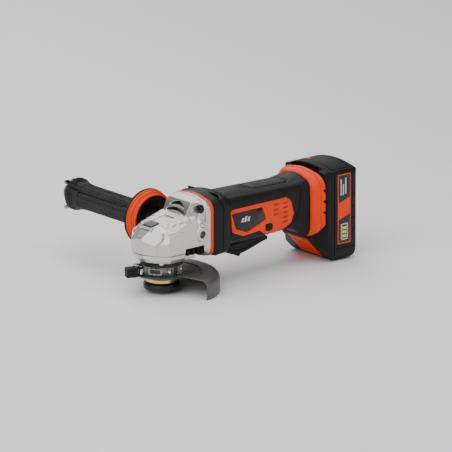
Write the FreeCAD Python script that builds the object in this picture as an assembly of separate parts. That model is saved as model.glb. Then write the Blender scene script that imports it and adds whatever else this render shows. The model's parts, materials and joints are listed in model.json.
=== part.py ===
import FreeCAD, Part
import math
import os

# Cordless angle grinder, without a disc. Millimetres.
# Origin: spindle axis, at the inner flange's wheel face. +X runs back to the battery,
# +Y out along the side handle, +Z up.

# Driving dimensions
ROTOR_Z = 59.0            # height of the rotor axis
FLOOR_Z = -13.0           # the guard and the battery stand here
NECK_R = 22.5             # collar that the guard turns on
NECK_Z0 = 11.0
COVER_Z0 = 27.0           # underside of the bearing cover
SEAM_Z = 36.5             # bearing cover meets gear housing
NOSE_R = 34.0
CAVITY_R = 29.0
HANDLE_X = 32.0           # side handle axis
HANDLE_Z = 55.0
HANDLE_R = 4.0            # M8 stud
PORT_R = 4.05
PORT_DEPTH = 14.0
FLANGE_X0 = 40.0
FLANGE_X1 = 45.0
RING_X1 = 49.0            # gasket ring ends, housing begins
FOOT_X1 = 212.5           # rear end of the tool
PACK_X0 = 213.3
PACK_X1 = 262.0
PACK_HW = 38.0
WALL = 2.6
GUARD_R = 66.6
GUARD_T = 1.8
NUT_R = 21.0

# Bevel gears: both cones meet where the spindle axis crosses the rotor axis.
CROWN_TEETH = 33
PINION_TEETH = 11
CROWN_R = 23.0
FACE_WIDTH = 8.0
ADDENDUM = 1.0
DEDENDUM = 1.5
PINION_R = CROWN_R * PINION_TEETH / CROWN_TEETH
CONE_LENGTH = math.hypot(CROWN_R, PINION_R)
INNER_SCALE = 1.0 - FACE_WIDTH / CONE_LENGTH

X = FreeCAD.Vector(1, 0, 0)
Y = FreeCAD.Vector(0, 1, 0)
Z = FreeCAD.Vector(0, 0, 1)
ORIGIN = FreeCAD.Vector(0, 0, 0)
APEX = FreeCAD.Vector(0, 0, ROTOR_Z)

parts = {}


# ---------------------------------------------------------------- shape helpers

def vec(x, y, z):
    return FreeCAD.Vector(x, y, z)


def box(x0, x1, y0, y1, z0, z1):
    return Part.makeBox(x1 - x0, y1 - y0, z1 - z0, vec(x0, y0, z0))


def cyl_z(r, z0, z1, x=0.0, y=0.0):
    return Part.makeCylinder(r, z1 - z0, vec(x, y, z0), Z)


def cyl_x(r, x0, x1, y=0.0, z=ROTOR_Z):
    return Part.makeCylinder(r, x1 - x0, vec(x0, y, z), X)


def cyl_y(r, y0, y1, x=HANDLE_X, z=HANDLE_Z):
    return Part.makeCylinder(r, y1 - y0, vec(x, y0, z), Y)


def tube_x(ro, ri, x0, x1, y=0.0, z=ROTOR_Z):
    return cyl_x(ro, x0, x1, y, z).cut(cyl_x(ri, x0, x1, y, z))


def tube_z(ro, ri, z0, z1, x=0.0, y=0.0):
    return cyl_z(ro, z0, z1, x, y).cut(cyl_z(ri, z0, z1, x, y))


def fuse(shapes):
    first = shapes[0]
    if len(shapes) == 1:
        return first
    return first.fuse(shapes[1:]).removeSplitter()


def group(shapes):
    return Part.makeCompound(shapes)


def cut(shape, tools):
    for tool in tools:
        shape = shape.cut(tool)
    return shape


def face_of(points):
    return Part.Face(Part.makePolygon(points + [points[0]]))


def side_prism(points, half_width):
    """Outline given as (x, z), as wide as half_width each side of the middle."""
    face = face_of([vec(x, -half_width, z) for x, z in points])
    return face.extrude(vec(0, 2 * half_width, 0))


def plan_prism(points, z0, z1):
    face = face_of([vec(x, y, z0) for x, y in points])
    return face.extrude(vec(0, 0, z1 - z0))


def lathe(profile, base=ORIGIN, axis=Z, angle=360.0, start=0.0):
    """Profile given as (radius, height along the axis)."""
    face = face_of([vec(r, 0, h) for r, h in profile])
    solid = face.revolve(ORIGIN, Z, angle)
    solid.rotate(ORIGIN, Z, start)
    if axis is X:
        solid.rotate(ORIGIN, Y, 90)
    elif axis is Y:
        solid.rotate(ORIGIN, X, -90)
    solid.translate(base)
    return solid


def about_z(shape, degrees, centre=ORIGIN):
    copy = shape.copy()
    copy.rotate(centre, Z, degrees)
    return copy


def about_x(shape, degrees):
    copy = shape.copy()
    copy.rotate(APEX, X, degrees)
    return copy


def mirrored(shape):
    return shape.mirror(ORIGIN, Y)


def arched(x, half_width, z0, z1, rise, r):
    """Upright closed outline at x: rounded corners and a crowned top."""
    k = r * (1 - math.sqrt(0.5))
    w = half_width
    right = [vec(x, w - r, z0), vec(x, w - k, z0 + k), vec(x, w, z0 + r)]
    upper = [vec(x, w, z1 - r), vec(x, w - k, z1 - k), vec(x, w - r, z1)]
    edges = [
        Part.LineSegment(vec(x, r - w, z0), right[0]).toShape(),
        Part.Arc(*right).toShape(),
        Part.LineSegment(right[2], upper[0]).toShape(),
        Part.Arc(*upper).toShape(),
        Part.Arc(upper[2], vec(x, 0, z1 + rise), vec(x, r - w, z1)).toShape(),
        Part.Arc(vec(x, r - w, z1), vec(x, k - w, z1 - k), vec(x, -w, z1 - r)).toShape(),
        Part.LineSegment(vec(x, -w, z1 - r), vec(x, -w, z0 + r)).toShape(),
        Part.Arc(vec(x, -w, z0 + r), vec(x, k - w, z0 + k), vec(x, r - w, z0)).toShape(),
    ]
    return Part.Wire(edges)


def loft(sections, inset=0.0):
    """Straight-sided loft through (x, half width, bottom, top, rise, corner radius)."""
    wires = []
    for x, hw, z0, z1, rise, r in sections:
        corner = max(r - inset, 1.0)
        wires.append(arched(x, hw - inset, z0 + inset, z1 - inset, rise, corner))
    return Part.makeLoft(wires, True, True)


def hexagon(across_flats, x0, x1, y, z):
    r = across_flats / math.sqrt(3)
    points = [vec(x0, y + r * math.cos(a), z + r * math.sin(a))
              for a in (math.radians(60 * i) for i in range(6))]
    return face_of(points).extrude(vec(x1 - x0, 0, 0))


# ---------------------------------------------------------------- gear head

def nose_outline(r):
    """Plan of the head: a faceted nose, then straight sides."""
    apex_r = r / math.cos(math.radians(15))
    points = [(apex_r * math.cos(a), apex_r * math.sin(a))
              for a in (math.radians(105 + 30 * i) for i in range(6))]
    return [(FLANGE_X0 + 1, r)] + [(0, r)] + points + [(0, -r)] + [(FLANGE_X0 + 1, -r)]


DECK_TILT = math.radians(10.5)
FLANGE_SECTION = (33.5, 26.0, 91.0, 3.5, 11.0)
SCREW_YZ = [(26.5, 83.0), (-26.5, 83.0), (26.5, 33.5), (-26.5, 33.5)]
BUTTON_X = -12.0
COVER_SCREW_R = 29.8
COVER_SCREW_ANGLES = [50, 130, 230, 310]


def gear_housing():
    side = side_prism([(-36, SEAM_Z), (-36, 54), (-31, 57.5), (-21, 67.0), (14, 74.0),
                       (21, 76.5), (27, 88), (31, 91.5), (FLANGE_X0 + 1, 92.5),
                       (FLANGE_X0 + 1, SEAM_Z)], 40)
    plan = plan_prism(nose_outline(NOSE_R), SEAM_Z, 100)
    rise = 80 * math.sin(DECK_TILT)
    run = 80 * math.cos(DECK_TILT)
    crown_points = [(-40, 0), (-40, 44), (-NOSE_R, 48), (-30, 56), (-22, 62.5), (-16, 90),
                    (16, 90), (22, 62.5), (30, 56), (NOSE_R, 48), (40, 44), (40, 0)]
    crown = face_of([vec(-38, y, z) for y, z in crown_points]).extrude(vec(run, 0, rise))
    body = side.common(plan).common(crown)
    shoulder = loft([(22, 22, SEAM_Z, 74, 2, 9), (30, 27, SEAM_Z, 84, 3, 10), (FLANGE_X0,) + FLANGE_SECTION])
    flange = loft([(FLANGE_X0,) + FLANGE_SECTION, (FLANGE_X1,) + FLANGE_SECTION])
    boss = cyl_y(8.0, -35.2, -30).fuse(cyl_y(8.0, 30, 35.2))
    body = fuse([body, shoulder, flange, boss])

    cavity = fuse([cyl_z(CAVITY_R, SEAM_Z, 51), cyl_z(CAVITY_R - 3, SEAM_Z, 55.5),
                   box(0, 26, -24, 24, SEAM_Z, 66)])
    cavity = cavity.common(box(-40, 26, -40, 40, 0, 100))
    upper = side_prism([(-22, 52), (-22, 55), (-12, 58.5), (-4, 60), (4, 66), (26, 72), (26, 52)], 19)
    body = cut(body, [cavity, upper])
    bosses = [cyl_z(11.0, 55.4, 67), cyl_z(6.0, 55.5, 64, BUTTON_X)]
    for angle in COVER_SCREW_ANGLES:
        a = math.radians(angle)
        x = COVER_SCREW_R * math.cos(a)
        y = COVER_SCREW_R * math.sin(a)
        bosses.append(cyl_z(3.6, SEAM_Z, 50, x, y))
    body = fuse([body] + bosses)
    pocket = box(BUTTON_X - 9.8, BUTTON_X + 4.8, -8.9, 8.9, 63.2, 80)
    bores = [cyl_z(8.0, 50, 62.8), cyl_z(2.55, 50, 70, BUTTON_X), pocket,
             cyl_x(9.6, 20, 32), cyl_x(11.0, 31, FLANGE_X1 + 1),
             cyl_y(PORT_R, -36, -35.2 + PORT_DEPTH), cyl_y(PORT_R, 35.2 - PORT_DEPTH, 36),
             cyl_x(29.6, 41.5, FLANGE_X1 + 1),
             box(33, FLANGE_X0 - 1, -24, 24, 20, 33)]
    for y0, y1 in ((27.5, 40), (-40, -27.5)):
        bores.append(box(9, 36.5, y0, y1, SEAM_Z - 1, 41.0))
    for y, z in SCREW_YZ:
        bores.append(cyl_x(2.1, 20, FLANGE_X1 + 1, y, z))
        bores.append(cyl_x(4.7, 20, FLANGE_X0, y, z))
    for height, half in ((78.5, 13), (84.0, 10)):
        bores.append(box(15, 33.0, -half, half, height, height + 2.6))
    for angle in COVER_SCREW_ANGLES:
        a = math.radians(angle)
        bores.append(cyl_z(1.9, SEAM_Z, 46, COVER_SCREW_R * math.cos(a),
                           COVER_SCREW_R * math.sin(a)))
    return cut(body, bores)


def bearing_cover():
    turned = lathe([(14, NECK_Z0), (NECK_R, NECK_Z0), (NECK_R, 17), (NECK_R - 1, 17),
                    (NECK_R - 1, 19.2), (NECK_R, 19.2), (NECK_R, COVER_Z0), (33.2, COVER_Z0),
                    (40, SEAM_Z), (20, SEAM_Z), (20, 41), (16, 41), (16, 30), (11, 30),
                    (11, 22), (14, 22)])
    outline = plan_prism(nose_outline(NOSE_R), 0, 60).common(box(-40, 30, -40, 40, 0, 60))
    cover = turned.common(outline)
    for angle in COVER_SCREW_ANGLES:
        a = math.radians(angle)
        x = COVER_SCREW_R * math.cos(a)
        y = COVER_SCREW_R * math.sin(a)
        cover = cover.cut(cyl_z(1.9, 20, 40, x, y))
    return cover


def cover_screws():
    screws = []
    for angle in COVER_SCREW_ANGLES:
        a = math.radians(angle)
        x = COVER_SCREW_R * math.cos(a)
        y = COVER_SCREW_R * math.sin(a)
        head = cyl_z(3.2, 24.6, COVER_Z0, x, y).cut(cyl_z(1.3, 24, 26, x, y))
        screws.append(head.fuse(cyl_z(1.9, COVER_Z0, 44, x, y)))
    return group(screws)


def housing_screws():
    screws = []
    for y, z in SCREW_YZ:
        head = cyl_x(3.9, 36.5, FLANGE_X0, y, z).cut(cyl_x(1.6, 36, 38.6, y, z))
        screws.append(head.fuse(cyl_x(2.1, FLANGE_X0, 62, y, z)))
    return group(screws)


def baffle_plate():
    plate = tube_x(29.6, 8.0, 41.5, 43.3)
    for i in range(12):
        plate = plate.cut(about_x(cyl_x(3.2, 41, 44, 24.0), 30 * i))
    return plate


# ---------------------------------------------------------------- gears and spindle

def tooth(points):
    """Tooth between its outer outline and the same outline drawn in to the apex."""
    rings = []
    for scale in (1.0, INNER_SCALE):
        corners = [APEX + (p - APEX) * scale for p in points]
        rings.append(Part.makePolygon(corners + [corners[0]]))
    return Part.makeLoft(rings, True, True)


def tooth_outline(along, across, side, tip_half, root_half, root_extra):
    """Outline at the outer end, from the pitch point along and the normal across."""
    tip = along + across * ADDENDUM
    root = along - across * (DEDENDUM + root_extra)
    return [tip + side * tip_half, tip - side * tip_half,
            root - side * root_half, root + side * root_half]


def crown_gear():
    pitch = vec(CROWN_R, 0, ROTOR_Z - PINION_R)
    normal = vec(PINION_R, 0, CROWN_R) / CONE_LENGTH
    outline = tooth_outline(pitch, normal, Y, 0.45, 1.55, 0.4)
    blank_root = pitch - normal * DEDENDUM
    inner_root = APEX + (blank_root - APEX) * INNER_SCALE
    blank = lathe([(6, 41), (9, 41), (9, 44), (blank_root.x, 46.5), (blank_root.x, blank_root.z),
                   (inner_root.x, inner_root.z), (inner_root.x, 48.2), (6, 48.2)])
    one = tooth(outline)
    step = 360.0 / CROWN_TEETH
    gear = blank.fuse([about_z(one, step * (i + 0.5)) for i in range(CROWN_TEETH)])
    for i in range(4):
        gear = gear.cut(about_z(cyl_z(2.9, 40, 50, BUTTON_X), 90 * i))
    return gear


def pinion():
    pitch = vec(CROWN_R, 0, ROTOR_Z - PINION_R)
    normal = vec(-PINION_R, 0, -CROWN_R) / CONE_LENGTH
    outline = tooth_outline(pitch, normal, Y, 0.42, 1.25, 0.4)
    root = pitch - normal * DEDENDUM
    inner = APEX + (root - APEX) * INNER_SCALE
    root_r = ROTOR_Z - root.z
    inner_r = ROTOR_Z - inner.z
    blank = lathe([(4, inner.x), (inner_r, inner.x), (root_r, root.x), (root_r, root.x + 1.5),
                   (6, 27), (6, 31), (4, 31)], APEX, X)
    one = tooth(outline)
    step = 360.0 / PINION_TEETH
    return blank.fuse([about_x(one, step * i) for i in range(PINION_TEETH)])


def spindle():
    shaft = lathe([(0, -8.5), (6.2, -8.5), (7, -7.7), (7, 0.5), (8, 0.5), (8, 30), (6, 30),
                   (6, 50), (5, 50), (5, 62.5), (0, 62.5)])
    flats = box(-9, 9, 6.4, 9, 0.5, 4).fuse(box(-9, 9, -9, -6.4, 0.5, 4))
    return shaft.cut(flats)


def inner_flange():
    ring = lathe([(8, 0), (18.3, 0), (18.3, 4.5), (15.8, 4.9), (15.8, 6.3), (18.3, 6.7),
                  (18.3, 9.2), (12.5, 9.6), (12.5, 15), (8, 15)])
    return ring


def flange_nut():
    nut = lathe([(7.05, -9), (19.2, -9), (NUT_R, -7.6), (NUT_R, -2.6), (19.6, -1.6),
                 (15.5, -1.6), (15.5, 0), (7.05, 0)])
    for i in range(2):
        nut = nut.cut(cyl_z(2.5, -9.5, -4, 15 - 30 * i))
    return nut


def ball_bearing_z(bore, outer, z0, z1):
    width = (outer - bore) * 0.3
    balls = [Part.makeSphere((outer - bore) * 0.19,
                             vec((bore + outer) / 2 * math.cos(math.tau * i / 8),
                                 (bore + outer) / 2 * math.sin(math.tau * i / 8),
                                 (z0 + z1) / 2)) for i in range(8)]
    inner = tube_z(bore + width, bore, z0, z1)
    return group([inner] + balls), tube_z(outer, outer - width, z0, z1)


def bearing_x(bore, outer, x0, x1):
    width = (outer - bore) * 0.3
    balls = [about_x(Part.makeSphere((outer - bore) * 0.19,
                                     vec((x0 + x1) / 2, 0, ROTOR_Z + (bore + outer) / 2)), 45 * i)
             for i in range(8)]
    return group([tube_x(bore + width, bore, x0, x1)] + balls), tube_x(outer, outer - width, x0, x1)


# ---------------------------------------------------------------- motor

def rotor_shaft():
    return lathe([(0, 11.2), (4, 11.2), (4, 97), (3, 97), (3, 106), (0, 106)], APEX, X)


def fan():
    hub = tube_x(8.5, 4.0, 47.0, 55.0).fuse(tube_x(26.0, 8.5, 53.6, 55.0))
    blade = box(47.5, 53.8, -0.7, 0.7, ROTOR_Z + 12, ROTOR_Z + 25.5)
    return fuse([hub] + [about_x(blade, 360.0 / 13 * i) for i in range(13)])


def stator():
    ring = tube_x(24.5, 20.5, 58.0, 88.0)
    arm = box(58.0, 88.0, -2.5, 2.5, ROTOR_Z + 13.0, ROTOR_Z + 21.0)
    former = box(56.0, 90.0, -5.4, 5.4, ROTOR_Z + 14.2, ROTOR_Z + 19.6)
    coil = former.cut(arm)
    core = fuse([ring] + [about_x(arm, 60 * i) for i in range(6)])
    return core, group([about_x(coil, 60 * i) for i in range(6)])


# ---------------------------------------------------------------- housing shells

SHELL = [
    (RING_X1, 34.0, 26.0, 91.0, 3.5, 11.0),
    (57.0, 35.5, 23.5, 92.5, 3.5, 15.0),
    (70.0, 35.0, 24.5, 91.5, 3.0, 18.0),
    (80.0, 28.5, 31.0, 86.8, 1.5, 25.0),
    (176.0, 26.5, 33.0, 84.5, 1.0, 24.0),
    (188.0, 27.0, 25.0, 86.0, 1.5, 19.0),
    (198.0, 27.5, 20.0, 87.5, 2.0, 13.0),
    (FOOT_X1, 27.5, 20.0, 87.5, 2.0, 13.0),
]
UNDERCUT = [(197.0, 19.0), (214.0, 36.0), (214.0, 5.0), (197.0, 5.0)]
# x, z and half length of each screw across the two halves
SHELL_SCREWS = [(94.0, 79.0, 15.0), (150.0, 79.0, 14.0), (186.0, 78.0, 17.0), (186.0, 36.0, 15.0),
                (166.0, 40.0, 12.0)]
PADDLE_PIVOT = (144.0, 27.5)
LEVER_PIVOT = (109.5, 20.6)
SEAL_RIB_X = (62.0, 66.0)


def shell():
    outer = loft(SHELL)
    inner = loft([(RING_X1 - 0.1,) + SHELL[0][1:]] + SHELL[1:-1] + [(FOOT_X1 - WALL,) + SHELL[-1][1:]],
                 WALL)
    hollow = outer.cut(inner)
    ribs = [box(SEAL_RIB_X[0], SEAL_RIB_X[1], -40, 40, 0, 120).cut(cyl_x(24.5, 60, 68)),
            box(97.0, 103.0, -40, 40, 0, 120).cut(cyl_x(9.5, 96, 104)),
            box(103.0, 105.0, -40, 40, 0, 120).cut(cyl_x(6.0, 102, 106))]
    ribs = [rib.common(outer) for rib in ribs]
    bosses = [cyl_y(3.8, -40, 40, x, z).common(outer) for x, z, half in SHELL_SCREWS]
    feet = [cyl_x(4.2, RING_X1, 64, y, z).common(outer) for y, z in SCREW_YZ]
    horn = side_prism([(138, 36), (152, 36), (148, 23.5), (139, 23.5)], 11.0)
    horn = horn.cut(box(137, 149.5, -8.2, 8.2, 18, 33.2))
    body = fuse([hollow] + ribs + bosses + feet + [horn])
    tools = [cyl_x(2.1, 48, 63, y, z) for y, z in SCREW_YZ]
    tools += [cyl_y(1.6, -half, half, x, z) for x, z, half in SHELL_SCREWS]
    tools += [cyl_y(3.0, -40, -half, x, z) for x, z, half in SHELL_SCREWS]
    tools += [cyl_y(2.0, -20, 20, *PADDLE_PIVOT),
              box(119, 129, -5, 5, 28, 40),
              box(208.9, FOOT_X1 + 1, -24.0, 24.0, 36.5, 82.0),
              side_prism(UNDERCUT, 45)]
    for index, x in enumerate((147.0, 161.0)):
        for row in range(3 + 2 * index):
            z = 68.0 - 5.5 * row
            tools.append(box(x - 4, x + 4, -40, 40, z - 1.1, z + 1.1))
    body = cut(body, tools)
    left = body.common(box(0, 300, 0, 60, -20, 120))
    right = body.common(box(0, 300, -60, 0, -20, 120))
    return left, right


def side_panel():
    """Soft panel on the right flank, with its badge recess and slots."""
    outline = [(74.7, 72.5), (80, 74), (163, 74), (170, 68), (174, 53), (170, 43), (163, 38),
               (155, 35), (148, 33.5), (131, 36), (122, 42), (97, 40), (81, 47)]
    skin = side_prism(outline, 45).common(box(60, 200, -45, -14, 0, 120))
    outer = loft([s[:1] + (s[1] + 1.3,) + s[2:] for s in SHELL[2:6]])
    panel = outer.common(skin).cut(loft(SHELL[2:6]))
    tools = [side_prism(BADGE, 45)]
    for index, x in enumerate((147.0, 161.0)):
        for row in range(3 + 2 * index):
            z = 68.0 - 5.5 * row
            tools.append(box(x - 4, x + 4, -45, 40, z - 1.1, z + 1.1))
    panel = cut(panel, tools)
    return max(panel.Solids, key=lambda solid: solid.Volume)


BADGE = [(79, 70), (126, 70), (133, 53.5), (103, 43), (85, 50)]


def badge():
    band = loft([s[:1] + (s[1] + 0.9,) + s[2:] for s in SHELL[2:6]]).cut(loft(SHELL[2:6]))
    small = [(80, 69.2), (125.4, 69.2), (131.8, 53.9), (103, 44), (85.8, 50.5)]
    return band.common(side_prism(small, 45)).common(box(60, 200, -45, -14, 0, 120))


def shell_screws():
    screws = []
    for x, z, half in SHELL_SCREWS:
        screws.append(cyl_y(1.6, -half, half - 1, x, z).fuse(cyl_y(2.8, -half - 2, -half, x, z)))
    return group(screws)


def trim_ring():
    outer = loft([(FLANGE_X1, 34.6, 25.2, 91.6, 3.6, 11.5), (RING_X1, 34.6, 25.2, 91.6, 3.6, 11.5)])
    ring = outer.cut(cyl_x(28.0, 40, 50))
    for y, z in SCREW_YZ:
        ring = ring.cut(cyl_x(2.1, 40, 50, y, z))
    return ring


def rear_bumper():
    outer = loft([(198.2, 30.0, 17.0, 90.0, 2.2, 15.0), (205.0, 36.5, 15.0, 92.6, 2.6, 15.0),
                  (FOOT_X1, 39.0, 15.0, 93.4, 3.0, 14.0)])
    return outer.cut(loft(SHELL[-2:])).cut(side_prism(UNDERCUT, 45))


# ---------------------------------------------------------------- switchgear

def paddle():
    points = [(83, 24.4), (87, 18.5), (95, 14.8), (107, 13.2), (124, 17.0), (139, 21.5),
              (148.4, 23.6), (148.4, 27.5), (140, 30.4), (128, 29.4), (84, 26.2)]
    body = side_prism(points, 12.0)
    body = body.cut(box(134, 160, -20, -8.0, 10, 40)).cut(box(134, 160, 8.0, 20, 10, 40))
    body = body.fuse(box(121.5, 126.5, -3.5, 3.5, 28.0, 35.5))
    body = body.cut(cyl_y(2.05, -20, 20, *PADDLE_PIVOT)).cut(cyl_y(1.5, -11, 11, *LEVER_PIVOT))
    return body.cut(box(100.6, 119, -5.2, 5.2, 5, 26.0))


def lock_off_lever():
    points = [(103, 21), (107.5, 15.5), (109.6, 8.4), (112.6, 8.4), (113.4, 14.5), (116.4, 21),
              (112.5, 23.6), (106, 23.6)]
    lever = side_prism(points, 4.9)
    return lever.cut(cyl_y(1.55, -10, 10, *LEVER_PIVOT))


# ---------------------------------------------------------------- guard

GUARD_START = -77.0
GUARD_SPAN = 146.0
CLAMP_ANGLE = 160.0
BAND_R = 24.9
CLAMP_X = 28.6
CLAMP_Y = 10.4


def wheel_guard():
    inner_r = NECK_R + 0.06
    r = GUARD_R
    t = GUARD_T
    round_r = 5.0
    k = round_r * (1 - math.sqrt(0.5))
    top = 10.0
    profile = [(inner_r, top), (r - round_r, top), (r - k, top - k), (r, top - round_r),
               (r, FLOOR_Z), (r - 3.0, FLOOR_Z), (r - 3.0, FLOOR_Z + t), (r - t, FLOOR_Z + t),
               (r - t, top - round_r), (r - t - k * 0.7, top - t - k * 0.6),
               (r - round_r - 0.5, top - t), (inner_r, top - t)]
    arc = lathe(profile, angle=GUARD_SPAN, start=GUARD_START)
    collar = tube_z(31.0, inner_r, top - t, top)
    return fuse([arc, collar])


def guard_band():
    band = tube_z(BAND_R, NECK_R + 0.06, 10.0, 21.0)
    gap = about_z(box(15, 30, -4.0, 4.0, 9, 22), CLAMP_ANGLE)
    band = band.cut(gap)
    keys = [about_z(box(NECK_R - 0.7, 24, -3, 3, 17.3, 18.9), a) for a in (-80, 40, 100)]
    lug_a = about_z(box(23.4, 31.5, 4.0, 7.0, 11.0, 20.5), CLAMP_ANGLE)
    lug_b = about_z(box(23.4, 31.5, -7.0, -4.0, 11.0, 20.5), CLAMP_ANGLE)
    body = fuse([band] + keys + [lug_a, lug_b])
    hole = Part.makeCylinder(1.5, 20.0, vec(CLAMP_X, -10.0, 15.8), Y)
    return body.cut(about_z(hole, CLAMP_ANGLE))


def guard_rivets():
    rivets = []
    seat = tube_z(BAND_R, BAND_R - 2.0, 10.0, 21.0)
    for angle in (-62, -20, 20, 62):
        rivet = Part.makeCylinder(1.8, 1.56, vec(BAND_R - 0.3, 0, 15.5), X).cut(seat)
        rivets.append(about_z(rivet, angle))
    return group(rivets)


def clamp_bolt():
    bolt = Part.makeCylinder(1.5, 18.0, vec(CLAMP_X, -9.0, 15.8), Y)
    head = Part.makeCylinder(3.0, 2.0, vec(CLAMP_X, -9.0, 15.8), Y)
    eye = cyl_z(3.0, 12.6, 19.0, CLAMP_X, CLAMP_Y)
    return about_z(fuse([bolt, head, eye]), CLAMP_ANGLE)


def clamp_pin():
    return about_z(cyl_z(1.5, 10.05, 22.0, CLAMP_X, CLAMP_Y), CLAMP_ANGLE)


def clamp_lever():
    """Finger lever with two cheeks round the eye of the clamp bolt."""
    arm = cyl_z(3.3, 10.4, 21.2, CLAMP_X, CLAMP_Y)
    arm = arm.fuse(box(CLAMP_X, 36.0, CLAMP_Y - 3.3, CLAMP_Y + 3.3, 10.4, 21.2))
    arm = arm.cut(box(CLAMP_X - 5, 33.0, CLAMP_Y - 4, CLAMP_Y + 4, 12.4, 19.2))
    block = box(33.6, 47.0, CLAMP_Y - 6.4, CLAMP_Y + 5.6, 10.4, 21.2)
    lever = arm.fuse(block).cut(cyl_z(1.56, 9, 23, CLAMP_X, CLAMP_Y))
    return about_z(lever, CLAMP_ANGLE)


# ---------------------------------------------------------------- side handle

def handle_hub():
    """Hub drum and hand rim."""
    y0 = 35.6
    return lathe([(HANDLE_R, y0), (11, y0), (14, 50), (27, 50.8), (27, 57.0), (30.5, 62.4),
                  (33, 63.4), (33, 66.4), (16, 68.4), (HANDLE_R, 68.4)], vec(HANDLE_X, 0, HANDLE_Z), Y)


def handle_trim():
    return lathe([(27, 51.4), (28.2, 51.8), (29.0, 54.6), (30.6, 56.0), (32.2, 60.6), (32.4, 63.0),
                  (30.5, 62.4), (27, 57.0)], vec(HANDLE_X, 0, HANDLE_Z), Y)


def handle_grip():
    grip = lathe([(HANDLE_R, 68.4), (15.6, 68.4), (14.2, 78), (15.2, 110), (15.2, 150),
                  (15.4, 176), (19, 186), (19, 191), (HANDLE_R, 191)],
                 vec(HANDLE_X, 0, HANDLE_Z), Y)
    rib = box(HANDLE_X - 2.5, HANDLE_X + 2.5, 82, 172, HANDLE_Z + 14.4, HANDLE_Z + 17)
    for i in range(8):
        groove = rib.copy()
        groove.rotate(vec(HANDLE_X, 0, HANDLE_Z), Y, 45 * i + 22.5)
        grip = grip.cut(groove)
    slot = box(HANDLE_X - 1.6, HANDLE_X + 1.6, 108, 192, HANDLE_Z - 8.1, HANDLE_Z + 8.1)
    return cut(grip, [slot, handle_stud()])


def handle_stud():
    return cyl_y(HANDLE_R, 24.0, 96.0).fuse(hexagon_y(13.0, 88.0, 96.0))


def hexagon_y(across_flats, y0, y1):
    r = across_flats / math.sqrt(3)
    points = [vec(HANDLE_X + r * math.cos(a), y0, HANDLE_Z + r * math.sin(a))
              for a in (math.radians(60 * i) for i in range(6))]
    return face_of(points).extrude(vec(0, y1 - y0, 0))


def spanner_head():
    """Moulded head of the pin spanner, which closes the end of the grip."""
    cone = lathe([(0, 191.2), (16.0, 191.2), (13.0, 198), (9, 204), (0, 204)],
                 vec(HANDLE_X, 0, HANDLE_Z), Y)
    knob = box(HANDLE_X - 11, HANDLE_X + 3, 201, 214, HANDLE_Z - 11.5, HANDLE_Z + 2)
    knob = knob.makeChamfer(1.6, knob.Edges)
    return cone.fuse(knob).cut(pin_spanner())


def pin_spanner():
    """Steel blade stowed in the grip, with two pins that fit the flange nut."""
    blade = box(HANDLE_X - 1.5, HANDLE_X + 1.5, 112, 193, HANDLE_Z - 8.0, HANDLE_Z + 8.0)
    fork = box(HANDLE_X - 1.5, HANDLE_X + 1.5, 191.4, 197.5, HANDLE_Z - 17.6, HANDLE_Z + 17.6)
    pins = [Part.makeCylinder(2.4, 15.0, vec(HANDLE_X - 15, 194.5, HANDLE_Z + s * 15.0), X)
            for s in (1, -1)]
    return fuse([blade, fork] + pins)


# ---------------------------------------------------------------- battery

def pack_outer(inset=0.0):
    sides = side_prism([(PACK_X0 + inset, 34.0), (203.3 + inset, 24.0 - inset),
                        (200.6 + inset, 19.0), (201.8 + inset, 14.0), (225.0 + inset, -10.2),
                        (229.0 + inset, FLOOR_Z + inset), (244.0, FLOOR_Z + inset),
                        (256.0, -9.0 + inset), (PACK_X1 - inset, 2.0),
                        (PACK_X1 - inset, 94.0), (258.0, 110.0), (PACK_X0 + inset, 110.0)], 50)
    section = Part.Face(arched(190.0, PACK_HW - inset, FLOOR_Z + inset, 94.0 - inset, 4.6, 7.0))
    right = [(198.0, 26.0), (206.0, 26.0), (213.3, 34.3), (217.0, PACK_HW), (258.0, PACK_HW),
             (PACK_X1, 34.0)]
    outline = [(x, inset - y) for x, y in right] + [(x, y - inset) for x, y in reversed(right)]
    plan = plan_prism(outline, -20.0, 110.0)
    return sides.common(section.extrude(vec(90, 0, 0))).common(plan)


CHANNEL = (PACK_X0 - 1, 220.4, -24.0, 24.0, 34.0, 120.0)
RAIL_Z = (38.0, 82.0)


def rail_block():
    """Pair of T-shaped rails that the pack hangs on, on their plate."""
    plate = box(209.0, FOOT_X1, -24.0, 24.0, 36.5, 82.0)
    rails = []
    for side in (1, -1):
        inner = sorted((side * 16.0, side * 20.6))
        outer = sorted((side * 16.0, side * 23.4))
        rails.append(box(FOOT_X1 - 0.5, 217.0, inner[0], inner[1], *RAIL_Z))
        rails.append(box(216.4, 219.4, outer[0], outer[1], *RAIL_Z))
    return fuse([plate] + rails).cut(box(205, 215, -13.0, 13.0, 60, 81))


def terminal_block():
    return box(206.0, 218.6, -12.4, 12.4, 70.0, 80.4)


def terminal_blades():
    return group([box(214.6, 218.0, y - 0.4, y + 0.4, 54.0, 70.0) for y in (-8.0, 0.0, 8.0)])


def pack_case():
    outer = pack_outer()
    hollow = pack_outer(2.4).common(box(223.0, PACK_X1 - 2.4, -50, 50, FLOOR_Z + 2.4, 90.8))
    body = outer.cut(hollow).cut(box(*CHANNEL))
    keepers = []
    for side in (1, -1):
        y = sorted((side * 21.0, side * 24.5))
        keepers.append(box(PACK_X0, 216.0, y[0], y[1], 34, 92).common(outer))
    body = fuse([body] + keepers)
    seat = box(234.6, 241.4, 17.6, 25.4, 93.0, 110.0)
    body = cut(body, [button_block(0.5, 7.0, 18.2), seat])
    front = body.common(box(190, 222.0, -60, 60, -30, 130))
    rear = body.common(box(222.0, 300, -60, 60, -30, 130))
    return front, rear


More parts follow.
